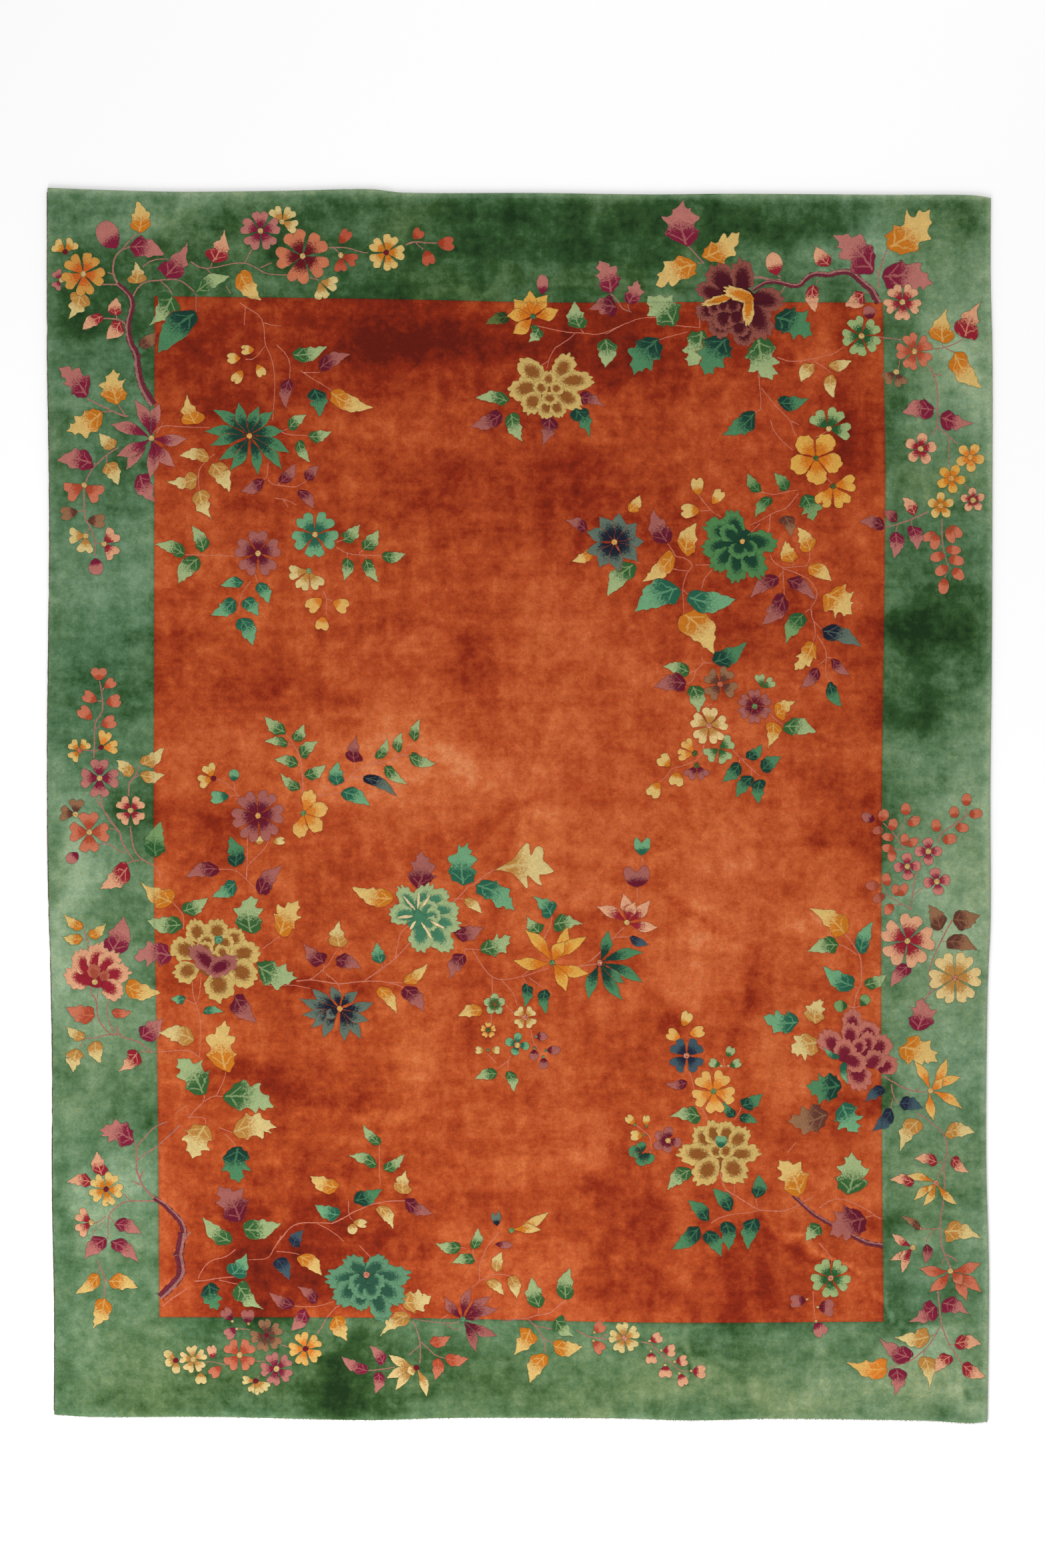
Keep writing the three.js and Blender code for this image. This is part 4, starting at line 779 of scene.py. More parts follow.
# Blossoms with uneven petals. Each row: its middle, a petal's width, and where the petals' tips are.
SPRAYS = {
    ("pointed", "navy", "gold"): [
        (-514, -579, 31, [(-418, -562), (-463, -530), (-540, -515), (-591, -523), (-627, -551),
                          (-621, -596), (-595, -634), (-561, -661), (-500, -672), (-455, -664),
                          (-431, -613), (-553, -608)]),
    ],
    ("pointed", "rose", "straw"): [
        (-1052, 1049, 37, [(-1030, 1146), (-1168, 1088), (-1098, 1157), (-1122, 960), (-1150, 998),
                           (-985, 967), (-1055, 934), (-952, 1047)]),
    ],
    ("pointed", "teal", "gold"): [
        (-772, 1055, 33, [(-703, 1126), (-898, 1068), (-874, 1130), (-803, 1149), (-745, 1139),
                          (-882, 1028), (-857, 988), (-825, 958), (-747, 946), (-680, 961), (-657, 1007),
                          (-676, 1069)]),
    ],
    ("pointed", "marigold", "fern"): [
        (92, -448, 36, [(-17, -442), (17, -355), (136, -346), (190, -374), (195, -480), (132, -528),
                        (126, -388)]),
    ],
    ("pointed", "teal", "peach"): [
        (228, -448, 34, [(252, -356), (348, -418), (350, -503), (297, -505), (293, -554), (196, -549)]),
    ],
    ("pointed", "peach", "straw"): [
        (305, -333, 34, [(295, -251), (370, -271), (392, -347), (222, -288), (329, -275)]),
        (1122, -1260, 24, [(1063, -1221), (1058, -1296), (1084, -1291), (1091, -1331)]),
    ],
    ("pointed", "amber", "straw"): [
        (1171, -813, 28, [(1128, -732), (1219, -719), (1258, -773), (1262, -863), (1181, -897),
                          (1207, -779)]),
    ],
    ("pointed", "gold", "peach"): [
        (1189, -1076, 24, [(1105, -1055), (1126, -1125), (1165, -1101), (1151, -1143), (1247, -1138)]),
    ],
    ("pointed", "coral", "straw"): [
        (1229, -1327, 32, [(1143, -1321), (1170, -1387), (1275, -1412), (1316, -1388), (1314, -1305),
                           (1261, -1366)]),
    ],
    ("pointed", "sand", "maroon"): [
        (-295, -1603, 27, [(-375, -1566), (-379, -1632), (-354, -1666), (-322, -1616), (-266, -1684)]),
    ],
    ("pointed", "plum", "mint"): [
        (-163, -1466, 29, [(-215, -1401), (-140, -1374), (-81, -1400), (-107, -1441), (-62, -1436),
                           (-66, -1512), (-125, -1559)]),
    ],
    ("pointed", "gold", "fern"): [(-24, -1211, 27, [(81, -1161), (59, -1210)])],
    ("round", "mint", "straw"): [(-7, -683, 25, [(-5, -647), (-41, -669), (28, -687), (-18, -711)])],
    ("round", "plum", "straw"): [
        (423, -955, 28, [(425, -916), (387, -934), (383, -975), (421, -990), (461, -964)]),
    ],
    ("round", "teal", "none"): [
        (352, -990, 34, [(341, -960), (311, -984), (330, -1008), (344, -1027), (379, -1016)]),
    ],
    ("round", "straw", "maroon"): [(-982, -1582, 25, [(-1015, -1556), (-1013, -1592), (-980, -1620)])],
    ("notched", "straw", "maroon"): [
        (-754, -1641, 27, [(-792, -1638), (-767, -1672), (-741, -1679), (-716, -1661)]),
    ],
}
HEART_RADIUS = 8.5
DOT_POINTS = 10
RADIUS_SHARE = 0.91  # how much of a blossom's radius its petals reach
PETAL_ROOM = 1.5  # a petal's width, from half the way to the next one's middle
WIDEST_PETAL = 1.06  # and no wider than this much of the radius
SLIMMER = {"lobed": 0.9, "round": 0.76}
POINTED_BOW = 0.06
PETAL_REACH, PETAL_RIM = 0.6, 0.2


def ring(x, y, radius, count):
    """Points on a circle."""
    turn = np.linspace(0, 2 * np.pi, count + 1)[:-1]
    return np.stack([x + radius * np.cos(turn), y + radius * np.sin(turn)], axis=1)


def heart(x, y, dye, radius=HEART_RADIUS):
    """The dot in the middle of a blossom."""
    knot_in("blossom", ring(x, y, radius * chance.normal(1, 0.05, DOT_POINTS), DOT_POINTS), dye)


def blossom(form, dye, x, y, width, tips, centre):
    for tip_x, tip_y in tips:
        bow = chance.choice([-POINTED_BOW, POINTED_BOW]) if form == "pointed" else 0
        shading = {"reach": PETAL_REACH, "rim": PETAL_RIM}
        motif("blossom", form, x, y, tip_x, tip_y, width, dye, bow=bow, **shading)
    if centre != "none":
        heart(x, y, centre)


for (form, dye), rows in BLOSSOMS.items():
    for x, y, radius, petals, first, pitch, centre in rows:
        radius *= RADIUS_SHARE
        angles = np.radians(first + pitch * np.arange(petals))
        tips = np.stack([x + radius * np.cos(angles), y + radius * np.sin(angles)], axis=1)
        room = PETAL_ROOM * radius * math.sin(math.radians(abs(pitch)) / 2)
        width = min(room, WIDEST_PETAL * radius) * SLIMMER.get(form, 1)
        blossom(form, dye, x, y, width, tips, centre)
for (form, dye, centre), rows in SPRAYS.items():
    for x, y, width, tips in rows:
        blossom(form, dye, x, y, width, tips, centre)


# ---------------------------------------------------------------- peonies
# The biggest flowers are built up of many overlapping frilled petals, each with a dark spot and a pale rim,
# and clipped apart so that they stand out like scales. The inner petals are knotted over the outer ones.

mix_dyes(
    tan=((140, 82, 30), (204, 172, 100)),
    purple=((74, 10, 24), (142, 78, 66)),
    emerald=((20, 62, 42), (78, 128, 74)),
    celadon=((66, 122, 90), (160, 178, 126)),
    jade=((40, 82, 62), (96, 142, 106)),
    mauve=((116, 20, 42), (186, 108, 92)),
    cream=((226, 196, 140), (232, 208, 156)),
)
FORMS["frilled"] = [
    (0, 0.2), (0.1, 0.5), (0.2, 0.8), (0.34, 0.96), (0.42, 0.92), (0.5, 1.12), (0.64, 1.1), (0.69, 0.86),
    (0.82, 0.92), (0.93, 0.74), (0.9, 0.46), (1.03, 0.38), (1.07, 0.18), (0.97, 0.06), (0.97, 0),
]

# Each flower: its dye, its middle, and how far its dark middle reaches. Then a row for each petal, the
# outer ones first: where its start and its tip are, its width, and its dye where that is another.
PEONIES = [
    ("tan", 84, 1185, 44, [
        (67, 1214, 0, 1266, 56), (101, 1216, 147, 1283, 54), (105, 1210, 207, 1216, 48),
        (100, 1187, 172, 1141, 52), (59, 1199, -29, 1180, 56), (54, 1180, 17, 1122, 52),
        (84, 1163, 70, 1106, 44), (96, 1160, 116, 1110, 40), (86, 1180, 84, 1143, 42),
        (82, 1196, 82, 1240, 36), (76, 1178, 44, 1206, 36), (92, 1178, 118, 1203, 36),
    ]),
    ("purple", 620, 1425, 60, [
        (594, 1466, 556, 1542, 72), (636, 1464, 634, 1556, 54), (661, 1448, 750, 1438, 56),
        (652, 1430, 709, 1341, 66), (636, 1372, 645, 1312, 48), (596, 1390, 546, 1350, 58),
        (575, 1452, 506, 1479, 44), (566, 1424, 505, 1400, 48), (562, 1446, 550, 1398, 32),
        (578, 1446, 584, 1404, 34), (606, 1446, 612, 1400, 36), (582, 1408, 580, 1358, 46),
        (616, 1410, 622, 1366, 42), (624, 1376, 630, 1338, 44), (612, 1456, 522, 1430, 20, "gold"),
        (668, 1444, 584, 1474, 34, "gold"), (654, 1452, 650, 1374, 28, "gold"),
    ]),
    ("emerald", 628, 745, 48, [
        (628, 766, 596, 840, 50), (619, 762, 531, 800, 56), (607, 746, 524, 732, 52),
        (615, 733, 551, 677, 54), (624, 729, 615, 640, 52), (640, 733, 688, 656, 56),
        (638, 754, 733, 750, 56), (619, 760, 576, 796, 42), (640, 750, 672, 718, 40),
        (632, 748, 613, 709, 48),
    ]),
    ("tan", -870, -430, 62, [
        (-908, -394, -934, -326, 50), (-870, -386, -856, -326, 56), (-836, -398, -792, -358, 48),
        (-828, -427, -745, -415, 56), (-828, -453, -755, -500, 64), (-870, -470, -848, -554, 72),
        (-916, -461, -984, -482, 56), (-920, -427, -992, -393, 60), (-887, -406, -902, -367, 44),
        (-853, -410, -827, -372, 40), (-891, -428, -906, -388, 40), (-857, -436, -840, -400, 40),
        (-870, -446, -878, -417, 32), (-862, -476, -934, -404, 46, "plum"),
        (-896, -478, -810, -438, 46, "plum"),
    ]),
    ("mauve", 965, -700, 54, [
        (948, -648, 950, -582, 50), (942, -676, 944, -621, 48), (986, -669, 1008, -620, 52),
        (1006, -706, 1050, -663, 56), (1022, -752, 1076, -731, 48), (910, -700, 863, -646, 52),
        (958, -742, 978, -808, 64), (986, -704, 998, -646, 40), (994, -746, 1034, -704, 48),
        (961, -704, 978, -663, 36), (922, -730, 932, -667, 54), (926, -722, 988, -741, 48),
    ]),
    ("celadon", -275, -318, 50, [
        (-299, -303, -342, -231, 42), (-291, -295, -256, -226, 48), (-270, -286, -206, -252, 52),
        (-257, -303, -176, -299, 52), (-253, -328, -172, -342, 48), (-257, -345, -198, -409, 52),
        (-283, -341, -283, -414, 56), (-303, -316, -371, -303, 48), (-270, -312, -252, -272, 46),
        (-266, -320, -227, -307, 42), (-274, -332, -236, -342, 40), (-291, -297, -288, -244, 7, "cream"),
        (-297, -299, -333, -258, 7, "cream"), (-282, -292, -255, -254, 7, "cream"),
        (-303, -315, -349, -319, 9, "cream"), (-297, -328, -314, -354, 7, "cream"),
        (-283, -330, -250, -381, 7, "cream"), (-257, -328, -214, -350, 7, "cream"),
    ]),
    ("peach", -1206, -480, 40, [
        (-1222, -503, -1294, -474, 56), (-1230, -482, -1260, -414, 50), (-1212, -478, -1200, -393, 56),
        (-1196, -480, -1153, -418, 52), (-1188, -490, -1115, -469, 54), (-1192, -506, -1136, -542, 48),
        (-1212, -494, -1219, -452, 32, "blush"), (-1194, -500, -1177, -470, 24, "blush"),
    ]),
    ("jade", -436, -1360, 56, [
        (-442, -1340, -496, -1291, 52), (-434, -1340, -382, -1291, 52), (-446, -1350, -552, -1350, 56),
        (-426, -1350, -318, -1338, 56), (-455, -1365, -525, -1412, 60), (-420, -1365, -332, -1408, 60),
        (-450, -1384, -459, -1438, 46), (-414, -1392, -383, -1467, 50), (-440, -1346, -482, -1380, 50),
        (-432, -1346, -394, -1376, 50), (-440, -1362, -457, -1405, 46), (-428, -1366, -417, -1408, 44),
    ]),
    ("tan", 572, -1000, 40, [
        (547, -978, 504, -919, 50), (560, -968, 546, -900, 46), (584, -968, 594, -902, 46),
        (600, -978, 648, -923, 50), (586, -1000, 682, -988, 46), (558, -1000, 454, -988, 52),
        (564, -1008, 504, -1073, 64), (581, -1008, 640, -1065, 64), (568, -1004, 550, -965, 36),
        (576, -1004, 601, -965, 36),
    ]),
]
UNDERSIDE_REACH = 1000  # so far that the ground under the petals keeps the dye's dark shade
SLIM = 10  # a stamen is narrower than this
PETAL_OVERLAP = 1.14
SLIM_REACH, PURPLE_REACH = 0.2, 0.72
DARK_SPOT, TAN_SPOT = 0.36, 0.48
FRILL_UNEVEN = 0.035
CALYX_RADIUS = 4.5


def petals_dyed(rows, dye):
    """Each petal's row, with the flower's own dye where it names none."""
    return [row if len(row) == 6 else (*row, dye) for row in rows]


for dye, x, y, inside, petals in PEONIES:
    under_frame = {"stalk": (x, y), "length": UNDERSIDE_REACH, "half_width": UNDERSIDE_REACH}
    knot_in("peony", ring(x, y, inside, 20), dye, shaded=True, carved=False, **under_frame)
    for *place, width, petal_dye in petals_dyed(petals, dye):
        if width < SLIM:
            shading = {"reach": SLIM_REACH, "carved": False}
            motif("peony", "petal", *place, width, petal_dye, FRILL_UNEVEN, **shading)
        else:
            reach = PURPLE_REACH if dye == "purple" else PETAL_REACH
            shading = {"reach": reach, "spot": TAN_SPOT if dye == "tan" else DARK_SPOT}
            motif("peony", "frilled", *place, PETAL_OVERLAP * width, petal_dye, FRILL_UNEVEN, **shading)

# The hearts, buds and small leaves that lie over the peonies.
heart(635, 754, "gold", 8)
heart(-438, -1338, "peach", 10)
heart(-1213, -503, "straw", 9)
heart(-859, -381, "mint", 13)
motif("peony", "heart", 574, -976, 574, -942, 34, "mint")
motif("peony", "wavy", 912, -720, 866, -688, 17, "mint", bow=0.1)
motif("peony", "wavy", 925, -730, 937, -796, 21, "mint", bow=-0.1)

# The dots of a few knots where buds and leaves meet their stalks.
CALYXES = {
    "straw": [(370, -1527), (404, -1554), (374, -1556), (442, -1586), (415, -1595), (489, -1612),
              (455, -1619), (820, -1408), (850, -1430), (845, -1471), (213, -1502), (210, -1526),
              (-774, -1478), (-820, -1471), (-808, -1492), (575, -742), (595, -742)],
    "mint": [(46, -659), (42, -691), (74, -698), (67, -716), (-91, -696)],
    "fern": [(328, -910), (362, -914), (355, -940)],
    "peach": [(372, -986), (1145, -1206)],
}
for dye, dots in CALYXES.items():
    for x, y in dots:
        heart(x, y, dye, CALYX_RADIUS)

# ---------------------------------------------------------------- the pile
# About 9.5 mm of clipped wool stands on the woven back: a rust field inside a green border, both knotted from
# batches of wool that took the dye unevenly. The same patches also hold painted light: the paler or darker
# sheen of the leaning pile, painted highlights and shadows along its creases, and a painted highlight along
# its edges. The pile is cut as one surface with all the motifs in it, and clipped with a groove along each
# outline and along the line between field and border, with a little painted shade in each groove.

HALF_WIDTH = 1352
HALF_LENGTH = 1764
THICKNESS = 13
BACK_THICKNESS = 3.5
SHOULDER = 20
CORD_DIAMETER = 6.5
WARP_LENGTH = 7
WEB_DEPTH = 5
GROOVE_REACH = 2.4
GROOVE_DEPTH = 1.2
BORDER_GROOVE = 6
BORDER_GROOVE_DEPTH = 2.5
SHOULDER_FULLNESS = 2.4
RIM_STEP = 9
SHOULDER_STEP = 11
SHOULDER_ROWS = (1.5, 5, 11, SHOULDER)
PILE_STEP = 15

# How far each edge stands in from the widest or longest line. Each row: where along the edge, and the inset.
LEFT_EDGE = [(-1764, 19), (-1450, 20), (-1100, 14), (-760, 14), (-530, 11), (-200, 2), (150, 0), (480, 3),
             (720, 6), (950, 5), (1290, 0), (1764, 0)]
RIGHT_EDGE = [(-1764, 14), (-1340, 10), (-990, 18), (-540, 14), (-310, 5), (30, 6), (380, 2), (950, 0),
              (1290, 0), (1520, 5), (1764, 4)]
FAR_END = [(-1352, 0), (-1220, 5), (-1000, 11), (-690, 9), (-430, 4), (-330, 14), (60, 15), (370, 19),
           (600, 17), (1060, 20), (1290, 21), (1352, 30)]
NEAR_END = [(-1352, 26), (-1220, 18), (-880, 18), (-430, 9), (-200, 15), (260, 14), (500, 8), (720, 13),
            (1170, 7), (1290, 0), (1352, 6)]

# The line between field and border. Each row: the place along it, and where it runs.
FIELD_LEFT = [(-1459, -1029), (-800, -1034), (-200, -1045), (400, -1044), (1454, -1043)]
FIELD_RIGHT = [(-1472, 1038), (-700, 1032), (100, 1034), (900, 1043), (1436, 1036)]
FIELD_FAR = [(-1043, 1454), (-400, 1446), (100, 1436), (500, 1437), (1036, 1436)]
FIELD_NEAR = [(-1029, -1459), (-300, -1462), (400, -1475), (1038, -1472)]

# Low ripples where the carpet doesn't lie flat. Each row: a crest's two ends, its half width, its height.
RIPPLES = [
    (686, -1150, 1120, -1450, 75, 6),
    (430, -200, 640, -360, 80, 5),
    (640, -330, 650, -700, 95, 4),
    (700, 180, 930, -60, 90, 4),
    (-260, -560, 90, -900, 110, 3.5),
    (-1180, 420, -1150, 60, 80, 3),
]
RIPPLE_RUNOUT = 0.35  # how far a ripple runs on past its crest's ends, in lengths
RIPPLE_FADE = 0.55  # how far it takes to sink


def curve_through(rows):
    """A smooth curve through a table's rows."""
    at, value = np.array(rows, float).T
    slopes = np.empty(len(at))
    slopes[1:-1] = (value[2:] - value[:-2]) / (at[2:] - at[:-2])
    slopes[0] = (value[1] - value[0]) / (at[1] - at[0])
    slopes[-1] = (value[-1] - value[-2]) / (at[-1] - at[-2])

    def curve(where):
        where = np.clip(where, at[0], at[-1])
        i = np.clip(np.searchsorted(at, where) - 1, 0, len(at) - 2)
        span = at[i + 1] - at[i]
        t = (where - at[i]) / span
        bend = t * (1 - t)
        ease = t * t * (3 - 2 * t)
        lead = bend * (1 - t) * slopes[i] * span
        trail = -bend * t * slopes[i + 1] * span
        return value[i] + (value[i + 1] - value[i]) * ease + lead + trail

    return curve


left_inset, right_inset = curve_through(LEFT_EDGE), curve_through(RIGHT_EDGE)
far_inset, near_inset = curve_through(FAR_END), curve_through(NEAR_END)


def sides_within(left_finish, right_finish, near_finish, far_finish):
    """Four sides, each standing in from the carpet's own edge by the width of what finishes it."""
    return (
        lambda y: -HALF_WIDTH + left_inset(y) + left_finish,
        lambda y: HALF_WIDTH - right_inset(y) - right_finish,
        lambda x: -HALF_LENGTH + near_inset(x) + near_finish,
        lambda x: HALF_LENGTH - far_inset(x) - far_finish,
    )


BACK_END = WARP_LENGTH + WEB_DEPTH + 0.3
BACK_SIDES = sides_within(CORD_DIAMETER + 0.3, CORD_DIAMETER + 0.3, BACK_END, BACK_END)
PILE_SIDES = sides_within(2.6, 2.0, 0.5, -0.8)  # the pile leans out over the cords and the webs
FIELD_SIDES = tuple(curve_through(rows) for rows in (FIELD_LEFT, FIELD_RIGHT, FIELD_NEAR, FIELD_FAR))


def smooth(t):
    t = np.clip(t, 0, 1)
    return t * t * (3 - 2 * t)


def how_far_in(points, sides):
    """How far each point lies inside the nearest of four sides."""
    x, y = points[:, 0], points[:, 1]
    left, right, near, far = sides
    return np.min([x - left(y), right(y) - x, y - near(x), far(x) - y], axis=0)


def lift(points):
    """How far the ripples lift the carpet off the floor."""
    most = np.zeros(len(points))
    for from_x, from_y, to_x, to_y, half_width, height in RIPPLES:
        span_x, span_y = to_x - from_x, to_y - from_y
        length = math.hypot(span_x, span_y)
        x, y = points[:, 0] - from_x, points[:, 1] - from_y
        along = (x * span_x + y * span_y) / length**2
        across = (x * span_y - y * span_x) / length
        side = smooth(1 - np.abs(across) / half_width)
        ends = smooth(np.minimum(along + RIPPLE_RUNOUT, 1 + RIPPLE_RUNOUT - along) / RIPPLE_FADE)
        most = np.maximum(most, height * side * ends)
    return most


NEAR_A_CORNER = (1300.0, 1700.0)
ROUNDS_TO_A_CORNER = 4


def loop_inside(sides, inset, step):
    """A closed line of points at the same distance inside four sides, counterclockwise from the near left."""
    left, right, near, far = sides
    corners = []
    for side_of_x, sign_x, side_of_y, sign_y in (
        (left, 1, near, 1), (right, -1, near, 1), (right, -1, far, -1), (left, 1, far, -1)
    ):
        x, y = -sign_x * NEAR_A_CORNER[0], -sign_y * NEAR_A_CORNER[1]
        for _ in range(ROUNDS_TO_A_CORNER):
            x = side_of_x(y) + sign_x * inset
            y = side_of_y(x) + sign_y * inset
        corners.append((float(x), float(y)))
    points = []
    for k, (side, sign) in enumerate(((near, 1), (right, -1), (far, -1), (left, 1))):
        start, stop = corners[k], corners[(k + 1) % 4]
        axis = k % 2
        count = max(int(abs(stop[axis] - start[axis]) / step), 2)
        at = np.linspace(start[axis], stop[axis], count + 1)[:-1]
        line = side(at) + sign * inset
        line[0] = start[1 - axis]
        points.append(np.stack([line, at] if axis else [at, line], axis=1))
    return np.vstack(points)


CLEAR_OF_SHOULDER = SHOULDER + 4
SAME_POINT = 0.02  # points nearer to each other than this are made one


def cut_surface(sides, ground_step, motifs, with_grooves):
    """Triangles within four sides whose edges follow every motif's outline, counterclockwise."""
    points = []
    edges = []
    count = 0

    def add(line, closed=False):
        nonlocal count
        points.append(line)
        if closed:
            ends = np.arange(count, count + len(line))
            edges.append(np.stack([ends, np.roll(ends, -1)], axis=1))
        count += len(line)

    add(loop_inside(sides, 0, RIM_STEP), closed=True)
    add(loop_inside(FIELD_SIDES, 0, RIM_STEP), closed=True)
    if with_grooves:
        for inset in SHOULDER_ROWS:
            add(loop_inside(sides, inset, SHOULDER_STEP))
        for inset in (-BORDER_GROOVE, BORDER_GROOVE):
            add(loop_inside(FIELD_SIDES, inset, RIM_STEP))
    for placed in motifs:
        line = placed["outline"]
        add(line, closed=True)
        if with_grooves and placed["carved"]:
            heading = np.roll(line, -1, axis=0) - line
            side = np.stack([-heading[:, 1], heading[:, 0]], axis=1)
            side /= np.maximum(np.hypot(*side.T), 1e-6)[:, None]
            middle = line + heading / 2
            add(middle + GROOVE_REACH * side)
            add(middle - GROOVE_REACH * side)
    across = np.arange(-HALF_WIDTH, HALF_WIDTH, ground_step)
    along = np.arange(-HALF_LENGTH, HALF_LENGTH, ground_step)
    x, y = np.meshgrid(across, along)
    grid = np.stack([x.ravel() + ground_step / 2 * (np.arange(y.size) // len(across) % 2), y.ravel()], axis=1)
    clear_of_rim = CLEAR_OF_SHOULDER if with_grooves else ground_step / 2
    add(grid[how_far_in(grid, sides) > clear_of_rim])
    flat = np.vstack(points)
    found = delaunay_2d_cdt([tuple(p) for p in flat], np.vstack(edges).tolist(), [], 0, SAME_POINT, False)
    flat = np.array([tuple(p) for p in found[0]])
    faces = np.array(found[2])
    centres = flat[faces].mean(axis=1)
    return flat, faces[how_far_in(centres, sides) > 0]


def is_within(outline, points):
    """Whether each point lies inside a closed outline."""
    x, y = points[:, :1], points[:, 1:]
    from_x, from_y = outline[:, 0], outline[:, 1]
    to_x, to_y = np.roll(from_x, -1), np.roll(from_y, -1)
    crosses = (from_y > y) != (to_y > y)
    with np.errstate(divide="ignore", invalid="ignore"):
        at = from_x + (y - from_y) * (to_x - from_x) / (to_y - from_y)
    return (crosses & (x < at)).sum(axis=1) % 2 == 1


FIELD, BORDER = -1, -2


def motif_on(points):
    """The motif that shows at each point, or else the field or the border."""
    found = np.where(how_far_in(points, FIELD_SIDES) > 0, FIELD, BORDER)
    order = np.argsort(points[:, 0])
    sorted_x = points[order, 0]
    for k, placed in enumerate(design):
        low, high = placed["outline"].min(axis=0), placed["outline"].max(axis=0)
        near = order[np.searchsorted(sorted_x, low[0]) : np.searchsorted(sorted_x, high[0])]
        near = near[(points[near, 1] > low[1]) & (points[near, 1] < high[1])]
        if len(near):
            found[near[is_within(placed["outline"], points[near])]] = k
    return found


def clipped_round(faces, shows, count):
    """1 at each point on a clipped outline, 0 elsewhere."""
    carved = np.array([k if placed["carved"] else -1 for k, placed in enumerate(design)] + [-1, -1])
    level = np.where(shows >= 0, carved[shows], -1)
    least = np.full(count, len(design))
    most = np.full(count, -1)
    for corner in range(3):
        np.minimum.at(least, faces[:, corner], level)
        np.maximum.at(most, faces[:, corner], level)
    return (least != most).astype(float)
